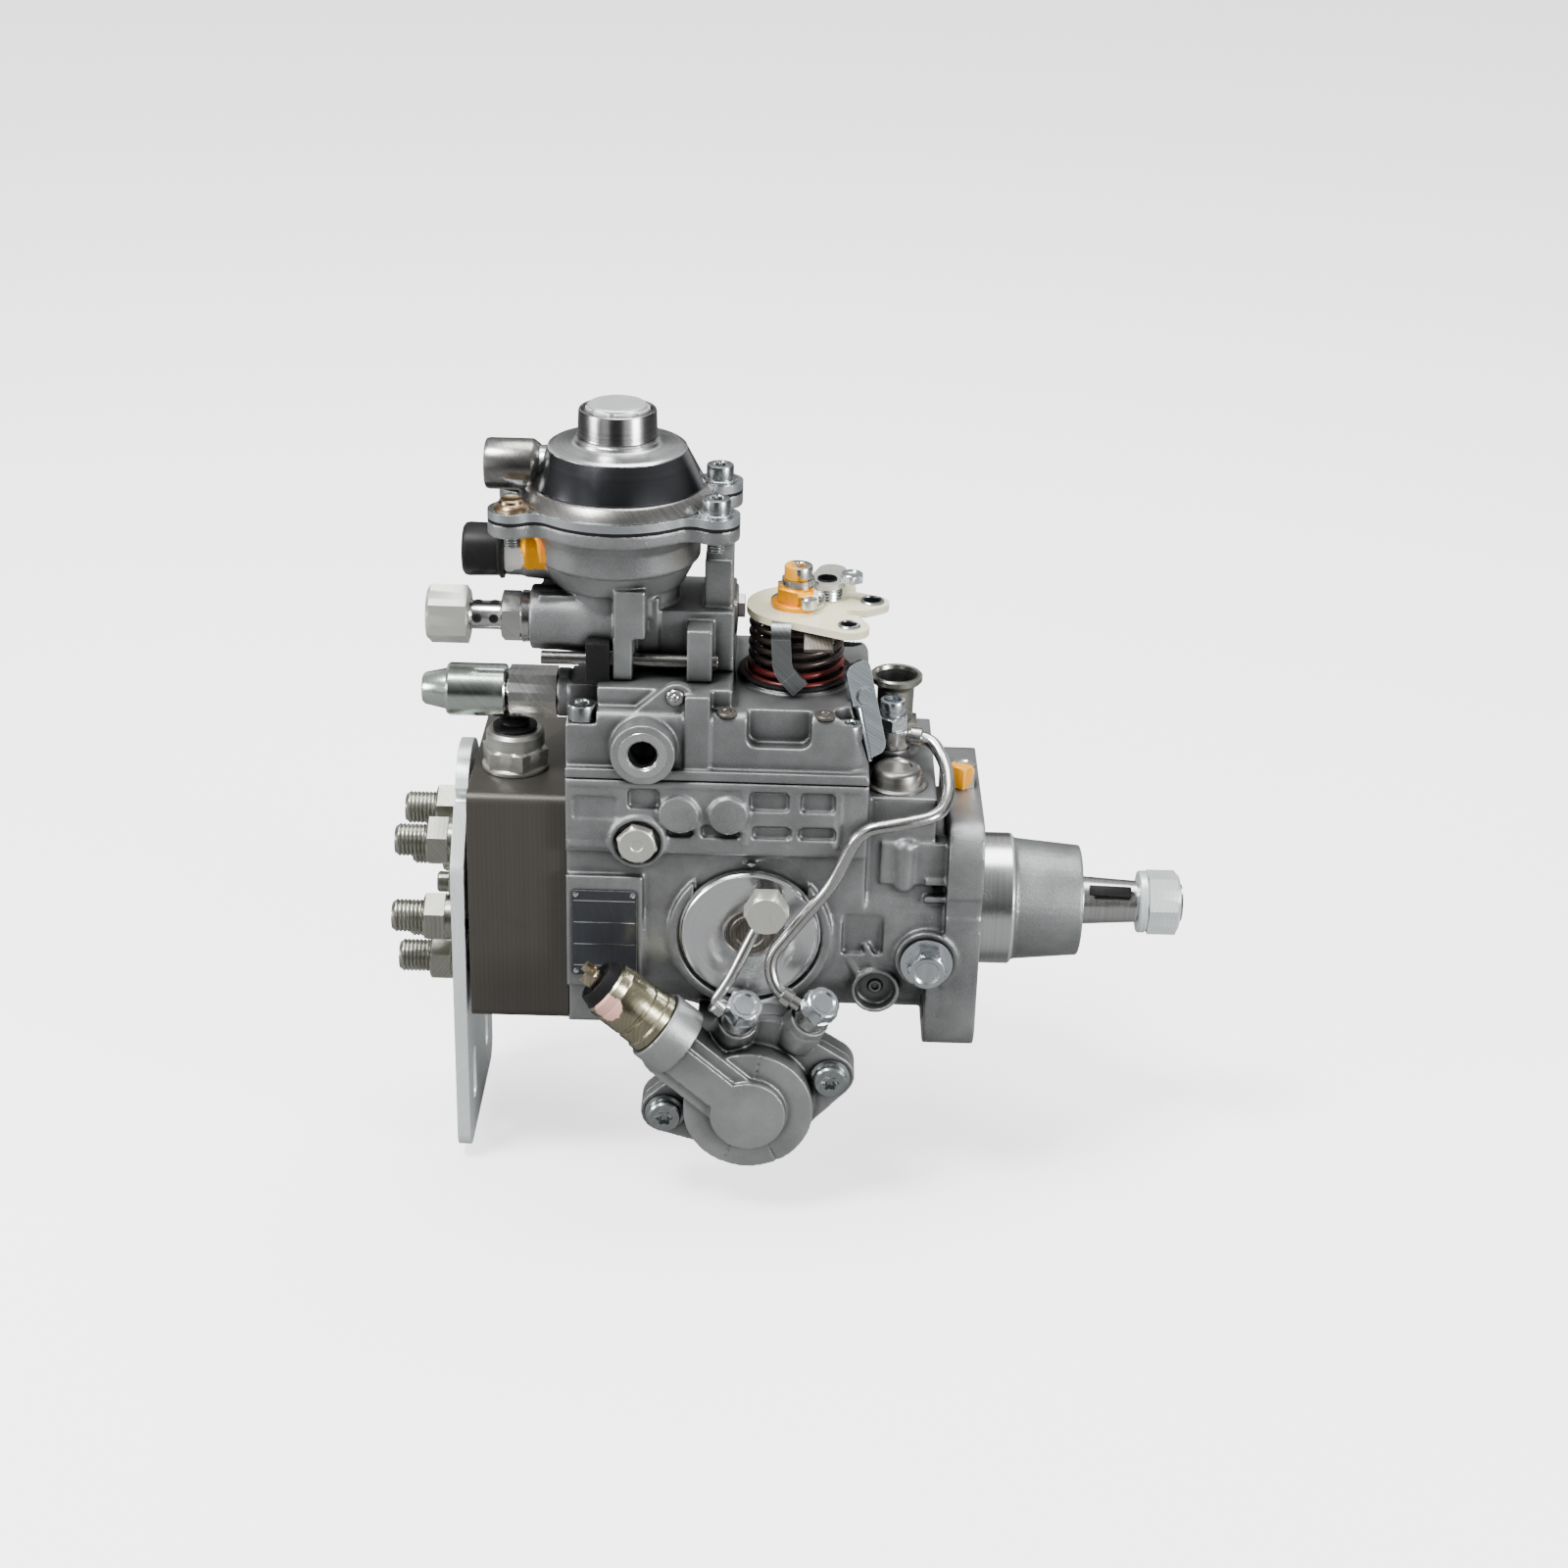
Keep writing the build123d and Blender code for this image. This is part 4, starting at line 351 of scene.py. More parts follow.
def metalFinish(name, light, dark, stain, worn, roughness, metallic=1.0, specular=0.5, axis=toNut,
                centre=(0, 0, 0), pitch=0.5, relief=0.12, edge=0.4, wearShare=0.6, patch=40.0, cover=0.45,
                filmShare=0.3, roughSpan=0.12, paint=(), brushed=0.0):
    # turned, plated or drawn metal with tool marks, wear, film and dabs of paint
    material, tree, shader = newFinish(name, metallic, specular)
    marks = useGroup(tree, "toolMarks", Centre=metres(centre), Axis=axis, Pitch=pitch * mm, Relief=relief)
    wear = useGroup(tree, "edgeWear", Width=edge * mm, Breakup=700.0).outputs[0]
    film = useGroup(tree, "oilFilm", Scale=patch, Cover=cover).outputs[0]
    colour = mixColour(tree, marks.outputs["Tone"], dark, light)
    colour = mixColour(tree, maths(tree, "MULTIPLY", film, filmShare), colour, stain)
    colour = mixColour(tree, maths(tree, "MULTIPLY", wear, wearShare), colour, worn)
    rough = maths(tree, "MULTIPLY_ADD", film, roughSpan, roughness)
    for place, radius, tone in paint:
        spot = useGroup(tree, "paintSpot", Centre=metres(place), Radius=radius * mm).outputs[0]
        colour = mixColour(tree, spot, colour, tone)
        duller = maths(tree, "SUBTRACT", paintSet["roughness"], rough)
        rough = maths(tree, "MULTIPLY_ADD", spot, duller, rough)
        metal = maths(tree, "SUBTRACT", metallic, maths(tree, "MULTIPLY", spot, paintSet["cover"]))
        tree.links.new(metal, shader.inputs["Metallic"])
    if brushed:
        # rings brushed round the cover's own axis stretch the highlights
        shader.inputs["Anisotropic"].default_value = brushed
        tangent = addNode(tree, "ShaderNodeTangent", direction_type="RADIAL", axis="Y")
        tree.links.new(tangent.outputs[0], shader.inputs["Tangent"])
    dressShader(tree, shader, colour, rough, marks.outputs["Normal"])
    return material


orangePaint = (0.84, 0.345, 0.0)
pinkPaint, whitePaint = (0.62, 0.34, 0.28), (0.75, 0.74, 0.70)
towerAxis, stopAxis = (-136.0, 0.0, 0.0), (-173.0, -11.0, 0.0)
# lengths in mm; cover is the film's share of the surface, patch its scale
metalLooks = {
    "zincPlate": dict(
        light=(0.66, 0.70, 0.72), dark=(0.54, 0.58, 0.61), stain=(0.36, 0.41, 0.46), worn=(0.9, 0.9, 0.9),
        roughness=0.24, pitch=0.9, relief=0.03),
    "creamZinc": dict(
        light=(0.90, 0.86, 0.60), dark=(0.82, 0.78, 0.54), stain=(0.70, 0.60, 0.36), worn=(0.96, 0.95, 0.9),
        roughness=0.36, pitch=1.2, relief=0.02, metallic=0.25),
    "footZinc": dict(
        light=(0.80, 0.85, 0.85), dark=(0.70, 0.75, 0.76), stain=(0.50, 0.56, 0.58),
        worn=(0.95, 0.96, 0.96), roughness=0.34, pitch=1.6, relief=0.02, metallic=0.55),
    "screwZinc": dict(
        light=(0.44, 0.47, 0.47), dark=(0.27, 0.29, 0.30), stain=(0.20, 0.21, 0.21),
        worn=(0.85, 0.87, 0.87), roughness=0.27, pitch=0.5, relief=0.06),
    "satinSteel": dict(
        light=(0.50, 0.50, 0.46), dark=(0.34, 0.34, 0.31), stain=(0.24, 0.23, 0.20),
        worn=(0.85, 0.85, 0.82), roughness=0.34, pitch=0.6, relief=0.06, metallic=0.85, axis=up,
        centre=stopAxis),
    "yellowZinc": dict(
        light=(0.46, 0.43, 0.30), dark=(0.27, 0.255, 0.17), stain=(0.20, 0.18, 0.13),
        worn=(0.80, 0.78, 0.66), roughness=0.24, patch=120.0,
        paint=(((-134.5, -71.5, -12.0), 5.2, pinkPaint),)),
    "oliveSteel": dict(
        light=(0.44, 0.44, 0.39), dark=(0.27, 0.27, 0.235), stain=(0.19, 0.18, 0.14),
        worn=(0.80, 0.80, 0.76), roughness=0.28),
    "turnedSteel": dict(
        light=(0.66, 0.66, 0.65), dark=(0.44, 0.44, 0.43), stain=(0.30, 0.29, 0.27),
        worn=(0.86, 0.86, 0.85), roughness=0.22),
    "darkSteel": dict(
        light=(0.125, 0.112, 0.095), dark=(0.075, 0.068, 0.06), stain=(0.05, 0.045, 0.04),
        worn=(0.30, 0.28, 0.25), roughness=0.42, pitch=1.3, relief=0.1, metallic=0.7),
    "polished": dict(
        light=(0.80, 0.80, 0.79), dark=(0.62, 0.62, 0.61), stain=(0.5, 0.49, 0.47), worn=(0.92, 0.92, 0.91),
        roughness=0.12, roughSpan=0.06, relief=0.04, axis=up, centre=towerAxis),
    "springWire": dict(
        light=(0.070, 0.052, 0.045), dark=(0.030, 0.024, 0.022), stain=(0.05, 0.018, 0.014),
        worn=(0.3, 0.25, 0.22), roughness=0.30, pitch=0.3, metallic=0.6),
    "hookSteel": dict(
        light=(0.32, 0.33, 0.34), dark=(0.18, 0.19, 0.20), stain=(0.13, 0.13, 0.13), worn=(0.8, 0.8, 0.8),
        roughness=0.30, pitch=0.6, relief=0.05),
    "crownSatin": dict(
        light=(0.74, 0.75, 0.75), dark=(0.58, 0.59, 0.59), stain=(0.46, 0.46, 0.46),
        worn=(0.92, 0.92, 0.92), roughness=0.26, roughSpan=0.1, relief=0.04, axis=up,
        centre=towerAxis),
    "blackNylon": dict(
        light=(0.010, 0.010, 0.011), dark=(0.006, 0.006, 0.006), stain=(0.014, 0.014, 0.014),
        worn=(0.03, 0.03, 0.03), roughness=0.42, metallic=0.0, relief=0.05, specular=0.16),
    "plateFoil": dict(
        light=(0.022, 0.024, 0.03), dark=(0.016, 0.017, 0.02), stain=(0.03, 0.03, 0.035),
        worn=(0.35, 0.35, 0.35), roughness=0.35, metallic=0.1, relief=0.0),
    # near-black chrome: a painted dark reflection, standing for the dark surroundings the cone mirrors
    "coneChrome": dict(
        light=(0.115, 0.12, 0.13), dark=(0.085, 0.088, 0.096), stain=(0.06, 0.06, 0.066),
        worn=(0.5, 0.51, 0.53), roughness=0.17, roughSpan=0.08, relief=0.015, pitch=0.3, axis=up,
        centre=towerAxis, patch=55.0),
    "smokedChrome": dict(
        light=(0.33, 0.325, 0.31), dark=(0.19, 0.185, 0.178), stain=(0.13, 0.11, 0.09),
        worn=(0.80, 0.79, 0.77), roughness=0.27, roughSpan=0.1, relief=0.05, patch=60.0),
    "capSteel": dict(
        light=(0.36, 0.36, 0.36), dark=(0.25, 0.25, 0.25), stain=(0.17, 0.165, 0.16),
        worn=(0.85, 0.85, 0.85), roughness=0.23, roughSpan=0.1, relief=0.04, axis=up,
        centre=towerAxis),
    "discSatin": dict(
        light=(0.60, 0.62, 0.61), dark=(0.50, 0.52, 0.51), stain=(0.44, 0.45, 0.44),
        worn=(0.92, 0.92, 0.92), roughness=0.42, relief=0.02, metallic=0.7, axis=up,
        centre=towerAxis),
    "plugSteel": dict(
        light=(0.27, 0.265, 0.25), dark=(0.17, 0.166, 0.155), stain=(0.11, 0.105, 0.09),
        worn=(0.75, 0.74, 0.70), roughness=0.33, relief=0.04, axis=up, centre=(-32.5, -25, 0)),
    "goldWasher": dict(
        light=(0.26, 0.19, 0.11), dark=(0.13, 0.09, 0.055), stain=(0.12, 0.08, 0.05),
        worn=(0.75, 0.66, 0.5), roughness=0.28),
    "paleHex": dict(
        light=(0.60, 0.60, 0.56), dark=(0.54, 0.54, 0.50), stain=(0.38, 0.36, 0.30), worn=(0.9, 0.9, 0.86),
        roughness=0.40, pitch=1.4, relief=0.0, patch=120.0, filmShare=0.5, metallic=0.8),
    "orangeHex": dict(
        light=(0.60, 0.60, 0.55), dark=(0.42, 0.42, 0.38), stain=(0.35, 0.33, 0.26), worn=(0.85, 0.85, 0.8),
        roughness=0.3, paint=(((-9.0, -4.5, 53.0), 6.4, orangePaint),)),
    "headSteel": dict(
        light=(0.072, 0.067, 0.059), dark=(0.064, 0.059, 0.052), stain=(0.040, 0.037, 0.033),
        worn=(0.32, 0.30, 0.26), roughness=0.40, pitch=1.7, relief=0.012, axis=toNut,
        centre=(-175, 9000, 0), metallic=0.6, patch=30.0, roughSpan=0.14),
    "dishChrome": dict(
        light=(0.86, 0.87, 0.88), dark=(0.74, 0.75, 0.76), stain=(0.60, 0.61, 0.62),
        worn=(0.94, 0.94, 0.94), roughness=0.17, roughSpan=0.03, relief=0.03, axis=(0, 1, 0),
        centre=(-84.6, 0, 2.8), pitch=0.35, filmShare=0.1, brushed=0.88),
    "redCoil": dict(
        light=(0.16, 0.02, 0.018), dark=(0.07, 0.012, 0.01), stain=(0.03, 0.012, 0.01),
        worn=(0.35, 0.2, 0.18), roughness=0.32, pitch=0.3, metallic=0.4),
    "strippedZinc": dict(
        light=(0.42, 0.46, 0.49), dark=(0.28, 0.31, 0.34), stain=(0.22, 0.24, 0.26), worn=(0.9, 0.92, 0.92),
        roughness=0.24, pitch=1.1, relief=0.0, edge=0.7, wearShare=0.9, patch=25.0, filmShare=0.15,
        roughSpan=0.05),
    "zincSleeve": dict(
        light=(0.66, 0.72, 0.66), dark=(0.44, 0.50, 0.46), stain=(0.34, 0.40, 0.38), worn=(0.9, 0.9, 0.88),
        roughness=0.20, pitch=0.8, relief=0.05),
    "brass": dict(
        light=(0.58, 0.50, 0.37), dark=(0.30, 0.25, 0.18), stain=(0.20, 0.14, 0.08), worn=(0.9, 0.87, 0.78),
        roughness=0.25),
    "markedZinc": dict(
        light=(0.74, 0.74, 0.68), dark=(0.56, 0.56, 0.50), stain=(0.45, 0.42, 0.32), worn=(0.9, 0.9, 0.88),
        roughness=0.25,
        paint=(((-73.5, -7.0, 121.5), 9.5, orangePaint), ((-75.5, -2.0, 131.0), 5.6, orangePaint))),
    "cutAluminium": dict(
        light=(0.80, 0.81, 0.81), dark=(0.60, 0.61, 0.61), stain=(0.50, 0.50, 0.50),
        worn=(0.92, 0.92, 0.92), roughness=0.24, pitch=0.45, relief=0.12),
}
castLooks = {
    "coverCast": {},
    # the pilot bore and register are turned
    "housingCast": {"machined": (((-0.1, -26, -26), (14.2, 26, 26), (0, 0, 0), toNut),)},
    "towerCast": {"paint": (((-165.5, -13.0, 139.5), 6.8, orangePaint),
                            ((-174.0, -12.0, 137.0), 5.6, whitePaint))},
    # a lighter copy of the cast finish: painted light, for the brighter light that falls on the timing cover
    "litTimingCast": {"light": (0.38, 0.387, 0.39), "dark": (0.21, 0.215, 0.217)},
}
finishes = {name: castFinish(name, **look) for name, look in castLooks.items()}
finishes.update({name: metalFinish(name, **look) for name, look in metalLooks.items()})
slotFinishes = {
    # material slot: the finishes that stand for it, the usual one first
    "cast_aluminium": ("coverCast", "housingCast", "towerCast", "litTimingCast", "cutAluminium"),
    "machined_steel": ("turnedSteel", "plugSteel"),
    "zinc_steel": ("zincPlate", "creamZinc", "footZinc", "screwZinc", "goldWasher", "hookSteel", "markedZinc",
                   "strippedZinc"),
    "dark_steel": ("darkSteel", "headSteel"),
    "chrome_steel": ("polished", "smokedChrome", "coneChrome", "crownSatin", "capSteel", "discSatin",
                     "dishChrome"),
    "yellow_zinc": ("yellowZinc", "brass"),
    "rubber_black": ("blackNylon",),
    "black_plastic": ("blackNylon",),
    "spring_steel": ("springWire", "redCoil"),
    "plate_black": ("plateFoil",),
    "olive_steel": ("oliveSteel", "orangeHex", "zincSleeve", "satinSteel", "paleHex"),
}
nodeFinish = {
    "pump_housing": "housingCast", "throttle_lever": "creamZinc", "distributor_head": "headSteel",
    "stop_bracket": "strippedZinc", "max_speed_screw": "smokedChrome", "aneroid_cover": "zincPlate",
    "rear_bracket": "footZinc", "fuel_pipes": "turnedSteel",
}
slotOf = {part["node"]: part["material_slot"] for part in frame["record"]["subparts"]}


def finishOf(node):
    return nodeFinish.get(node, slotFinishes[slotOf[node]][0])


for name, thing in nodes.items():
    thing.data.materials.clear()
    thing.data.materials.append(finishes[finishOf(name)])
print("finishes made:", len(finishes))


# shape helpers: everything is built in millimetres and scaled once at the end
weld = 0.0005  # points closer than this are one
starForm = {"middle": 0.86, "swing": 0.14, "points": 6}
notchForm = {"count": 8, "toothShare": 0.72, "reach": 0.93}


def ringRadius(kind, radius, angle):
    if kind == "hex":
        return radius / cos((angle + pi / 6) % (pi / 3) - pi / 6)
    if kind == "star":
        return radius * (starForm["middle"] + starForm["swing"] * cos(starForm["points"] * angle))
    if kind == "notched":
        inTooth = (angle / (2 * pi) * notchForm["count"]) % 1 < notchForm["toothShare"]
        return radius * (1.0 if inTooth else notchForm["reach"])
    return radius


def settle(part, middle, axis, turn=0.0):
    spin = Matrix.Rotation(turn, 4, "Z")
    aim = Vector(axis).to_track_quat("Z", "Y").to_matrix().to_4x4()
    bmesh.ops.transform(part, matrix=Matrix.Translation(middle) @ aim @ spin, verts=part.verts)
    return part


def ofKind(items, kind):
    return [item for item in items if isinstance(item, kind)]


def stack(rings, middle, axis=up, turn=0.0, segments=48):
    # rings of (height, radius, kind) joined into one closed shape along an axis
    part = bmesh.new()
    bmesh.ops.create_circle(part, cap_ends=False, segments=segments, radius=1.0)
    loop = part.edges[:]
    verts = part.verts[:]
    least = 0.002  # keeps the points of a closed end apart
    for index, (height, radius, *kind) in enumerate(rings):
        if index:
            made = bmesh.ops.extrude_edge_only(part, edges=loop)["geom"]
            verts = ofKind(made, bmesh.types.BMVert)
            loop = [e for e in ofKind(made, bmesh.types.BMEdge) if all(v in verts for v in e.verts)]
        for v in verts:
            angle = atan2(v.co.y, v.co.x)
            reach = max(ringRadius(kind[0] if kind else "round", radius, angle), least)
            v.co = (reach * cos(angle), reach * sin(angle), height)
    if rings[0] == rings[-1]:
        # a profile that comes back to its start leaves the middle open
        bmesh.ops.remove_doubles(part, verts=part.verts, dist=weld)
    bmesh.ops.holes_fill(part, edges=[e for e in part.edges if e.is_boundary])
    bmesh.ops.recalc_face_normals(part, faces=part.faces)
    return settle(part, middle, axis, turn)


def roundEdges(part, edges, offset, segments):
    bmesh.ops.bevel(part, geom=edges, offset=offset, segments=segments, profile=0.5, affect="EDGES",
                    material=-1)


def brick(low, high, bevel=0.0):
    part = bmesh.new()
    bmesh.ops.create_cube(part, size=1.0)
    bmesh.ops.scale(part, vec=Vector(high) - Vector(low), verts=part.verts)
    bmesh.ops.translate(part, vec=(Vector(high) + Vector(low)) / 2, verts=part.verts)
    if bevel:
        roundEdges(part, part.edges[:], bevel, 2)
    return part


def gather(build, *parts):
    # the parts end up in one bmesh and are freed
    for part in parts:
        mesh = bpy.data.meshes.new("part")
        part.to_mesh(mesh)
        part.free()
        build.from_mesh(mesh)
        bpy.data.meshes.remove(mesh)
    return build


def toMesh(build, name="part"):
    mesh = bpy.data.meshes.new(name)
    build.to_mesh(mesh)
    build.free()
    return mesh


def scaledMesh(build, name="part"):
    bmesh.ops.scale(build, vec=(mm, mm, mm), verts=build.verts)
    return toMesh(build, name)


def linked(name, mesh):
    thing = bpy.data.objects.new(name, mesh)
    bpy.context.scene.collection.objects.link(thing)
    return thing


def showPiece(mesh, name, finish, body="pump_body", slot=None, replaced=(), sharp=32.0):
    mesh.name = name
    mesh.materials.clear()
    mesh.materials.append(finishes[finish])
    mesh.shade_smooth()
    mesh.set_sharp_from_angle(angle=radians(sharp))
    thing = linked(name, mesh)
    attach(thing, body)
    if replaced:
        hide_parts(*replaced)
    return thing


def makePiece(name, finish, parts, **other):
    return showPiece(scaledMesh(gather(bmesh.new(), *parts), name), name, finish, **other)


def ringPieces(table):
    # turned shapes, each from its own dictionary
    for name, s in table.items():
        shape = {key: s[key] for key in ("rings", "middle", "axis", "turn", "segments") if key in s}
        other = {key: s[key] for key in ("body", "slot", "replaced") if key in s}
        makePiece(name, s["finish"], [stack(**shape)], **other)


def breakEdges(thing, width, angle, harden=False):
    bevel = thing.modifiers.new("broken edges", "BEVEL")
    bevel.width = width * mm
    bevel.segments = 2
    bevel.limit_method = "ANGLE"
    bevel.angle_limit = radians(angle)
    bevel.harden_normals = harden


def copyOf(node):
    # the node's own solid as a welded bmesh, in metres
    build = bmesh.new()
    build.from_mesh(nodes[node].data)
    bmesh.ops.remove_doubles(build, verts=build.verts, dist=1e-6)
    return build


def applied(thing):
    view = bpy.context.evaluated_depsgraph_get()
    mesh = bpy.data.meshes.new_from_object(thing.evaluated_get(view))
    old = thing.data
    bpy.data.objects.remove(thing)
    bpy.data.meshes.remove(old)
    return mesh


def carve(mesh, cutter, operation="DIFFERENCE"):
    # one clean cut or join of two closed shapes
    rough, tool = linked("rough", mesh), linked("tool", scaledMesh(cutter))
    step = rough.modifiers.new("cut", "BOOLEAN")
    step.operation = operation
    step.solver = "EXACT"
    step.object = tool
    result = applied(rough)
    spare = tool.data
    bpy.data.objects.remove(tool)
    bpy.data.meshes.remove(spare)
    return result


# castings: the solid is remeshed and relaxed, so that its corners run into each other as cast ones do
castings = {
    # node: piece, finish, voxel in mm, rounds of smoothing, share of the faces kept
    "pump_housing": ("housingCasting", "housingCast", 0.72, 3, 0.28),
    "governor_cover": ("coverCasting", "coverCast", 0.6, 5, 0.6),
    "aneroid_housing": ("towerCasting", "towerCast", 0.55, 5, 0.6),
    "timing_cover": ("timingCasting", "litTimingCast", 0.5, 4, 0.7),
    "timing_spring_cover": ("springCoverCasting", "coverCast", 0.7, 4, 0.7),
}
stopPinMiddle = (-113.0, -38.3, 95.6)
ventMiddle, portMiddle = (-166.8, -10.0, 114.0), (-176.0, -4.0, 137.0)
pipeSeats = {
    # banjo bolts of the timing cover: seat of the eye, axis, and the steps from there to boss and bolt head
    "left": {"seat": (-88.0, -60.0, -22.5), "axis": (0.2, -0.55, 0.81),
             "boss": (-3.0, 8.3, -12.2), "rise": (1.41, -3.87, 5.7)},
    "right": {"seat": (-61.5, -58.5, -21.5), "axis": (0.35, -0.5, 0.79),
              "boss": (-5.0, 7.0, -11.5), "rise": (2.45, -3.5, 5.53)},
}


def wedge(top, foot, depth):
    # a block whose left face runs through two points, seen from the plate side
    rise = Vector(top) - Vector(foot)
    block = brick((0, -depth, -4.0), (30.0, 3.0, rise.length + 12.0))
    lean = Matrix.Rotation(atan2(rise.x, rise.z), 4, "Y")
    bmesh.ops.transform(block, matrix=Matrix.Translation(foot) @ lean, verts=block.verts)
    return block


def slantBar(middle, length, width, lean, half=2.4):
    bar = brick((-width / 2, -half, -length / 2), (width / 2, half, length / 2), 0.8)
    place = Matrix.Translation(middle) @ Matrix.Rotation(lean, 4, "Y")
    bmesh.ops.transform(bar, matrix=place, verts=bar.verts)
    return bar


def offsetFrom(place, step):
    # a place moved by a step
    return tuple(a + b for a, b in zip(place, step))


def housingExtras():
    pad = ((-1.5, 7.4), (1.7, 7.2), (2.2, 6.8))
    plugRing = ((-1.5, 10.6), (1.6, 10.3), (2.2, 9.8), (2.2, 8.6), (0.4, 8.2))
    shoulderRib = ((0, 0.0), (0.6, 2.6), (2.4, 4.0), (19.0, 4.2), (21.0, 2.8), (21.8, 0.0))
    return (
        # ribs of the plate side, standing a little off the band and the barrel
        brick((-150.5, -43.8, 38.2), (-131.5, -42.0, 40.0)),
        brick((-88.0, -43.9, 40.5), (-86.8, -42.0, 62.0)),
        brick((-54.2, -43.9, 40.5), (-53.0, -42.0, 62.0)),
        brick((-150.5, -43.6, 62.6), (-45.0, -42.0, 64.2)),
        # the shoulder beside the flange, with its upright rib and steps
        brick((-37.5, -38.5, 24.0), (-13.0, -30.0, 40.5)),
        stack(shoulderRib, (-28.8, -36.6, 20.5)),
        brick((-21.0, -40.4, 24.6), (-9.0, -37.0, 27.0)),
        brick((-21.0, -40.4, 17.6), (-9.0, -37.0, 20.0)),
        # round pads between the pockets and the raised ring round the plug
        stack(pad, (-111.3, -42.6, 52.4), toPlateSide),
        stack(pad, (-93.3, -42.6, 52.2), toPlateSide),
        stack(plugRing, (-126.0, -42.4, 40.8), toPlateSide),
        # two slanted bars below the recess by the flange
        slantBar((-46.0, -39.5, -9.4), 10.0, 2.6, -0.5),
        slantBar((-39.6, -39.5, -5.3), 12.0, 2.6, -0.4),
    )


def coverExtras():
    # collar of the stop pin
    return (stack(((-4.0, 4.6), (-0.4, 4.4), (0.0, 3.8), (-0.4, 3.2)), stopPinMiddle, toPlateSide),)


def towerExtras():
    # round boss of the union, running into the body as a funnel, and the boost port's collar
    unionBoss = ((0, 11.2), (0.6, 11.7), (9.0, 11.9), (24.0, 13.0), (38.0, 15.5))
    portCollar = ((0, 8.6), (0.6, 9.0), (7.0, 9.2), (8.0, 9.8), (19.0, 10.6))
    return (stack(unionBoss, offsetFrom(ventMiddle, (0.4, 0, 0)), toNut, segments=72),
            stack(portCollar, offsetFrom(portMiddle, (-0.2, 0, 0)), toNut))


def timingExtras():
    # cast bosses that carry the banjo bolts
    boss = ((0, 8.6), (10, 7.6))
    return [stack(boss, offsetFrom(s["seat"], s["boss"]), s["axis"]) for s in pipeSeats.values()]


castExtras = {"pump_housing": housingExtras, "governor_cover": coverExtras, "aneroid_housing": towerExtras,
              "timing_cover": timingExtras}
# the governor cover's corner beside the stop strip slopes away
castCuts = {"governor_cover": {"top": (-50.4, -5.0, 90.0), "foot": (-42.6, -5.0, 66.0), "depth": 44.0}}


def modified(mesh, steps):
    rough = linked("rough", mesh)
    for kind, values in steps:
        step = rough.modifiers.new(kind, kind)
        for name, value in values.items():
            setattr(step, name, value)
    return applied(rough)


def castPiece(node, name, finish, voxel, relax, share):
    build = copyOf(node)
    for extra in castExtras[node]() if node in castExtras else ():
        bmesh.ops.scale(extra, vec=(mm, mm, mm), verts=extra.verts)
        gather(build, extra)
    mesh = toMesh(build)
    if node in castCuts:
        mesh = carve(mesh, wedge(**castCuts[node]))
    mesh = modified(mesh, (("REMESH", {"mode": "VOXEL", "voxel_size": voxel * mm}),
                           ("SMOOTH", {"factor": 0.5, "iterations": relax})))
    mesh = modified(mesh, (("DECIMATE", {"ratio": share}),))
    showPiece(mesh, name, finish, replaced=(node,), sharp=60.0)


for node, s in castings.items():
    castPiece(node, *s)
print("castings made")

# solids that are right as they are: a welded copy with its edges broken
edgedPieces = {
    # node: (piece, bevel in mm)
    "rear_bracket": ("rearPlate", 0.5),
    "aneroid_cover": ("domeCover", 0.7),
    "distributor_head": ("headBlock", 0.5),
    "max_speed_screw": ("speedRod", 0.3),
}


def edgedCopy(node, name, width):
    build = copyOf(node)
    bmesh.ops.dissolve_limit(build, angle_limit=radians(1.0), verts=build.verts, edges=build.edges)
    thing = showPiece(toMesh(build), name, finishOf(node), slot=slotOf[node], replaced=(node,))
    breakEdges(thing, width, 38, harden=True)


for node, (name, width) in edgedPieces.items():
    edgedCopy(node, name, width)
print("edged pieces made")


# screws, bolts and plugs
capScrew = {"head": 5.0, "height": 6.0, "socket": 2.5, "depth": 3.2}


def capHead(middle, axis, s):
    r, h = s["head"], s["height"]
    return stack(
        ((0, r - 0.3), (0.3, r), (h - 0.7, r), (h - 0.2, r - 0.25), (h, r - 0.9), (h, s["socket"] + 0.5),
         (h - 0.4, s["socket"], "hex"), (h - s["depth"], s["socket"], "hex"), (h - s["depth"] - 0.8, 0.0)),
        middle, axis)


def hexHead(across, height, middle, axis, dish=0.6, turn=0.0, washer=0.0):
    half = across / 2
    rings = ((0, half * 0.97), (0, half, "hex"), (height - 0.9, half, "hex"), (height - 0.35, half * 1.02),
             (height, half * 0.93), (height, half * 0.74), (height - dish, half * 0.62), (height - dish, 0.0))
    parts = [stack(rings, middle, axis, turn)]
    if washer:
        parts.append(stack(((-0.1, washer - 0.2), (0.1, washer), (0.9, washer), (1.3, half)), middle, axis))
    return parts


def threadRings(radius, pitch, length, start=0.0, depth=0.55):
    rings = []
    turns = int(length / pitch)
    for index in range(turns):
        low = start + index * pitch
        rings += [(low, radius - depth), (low + 0.35 * pitch, radius), (low + 0.6 * pitch, radius)]
    return rings + [(start + turns * pitch, radius - depth)]


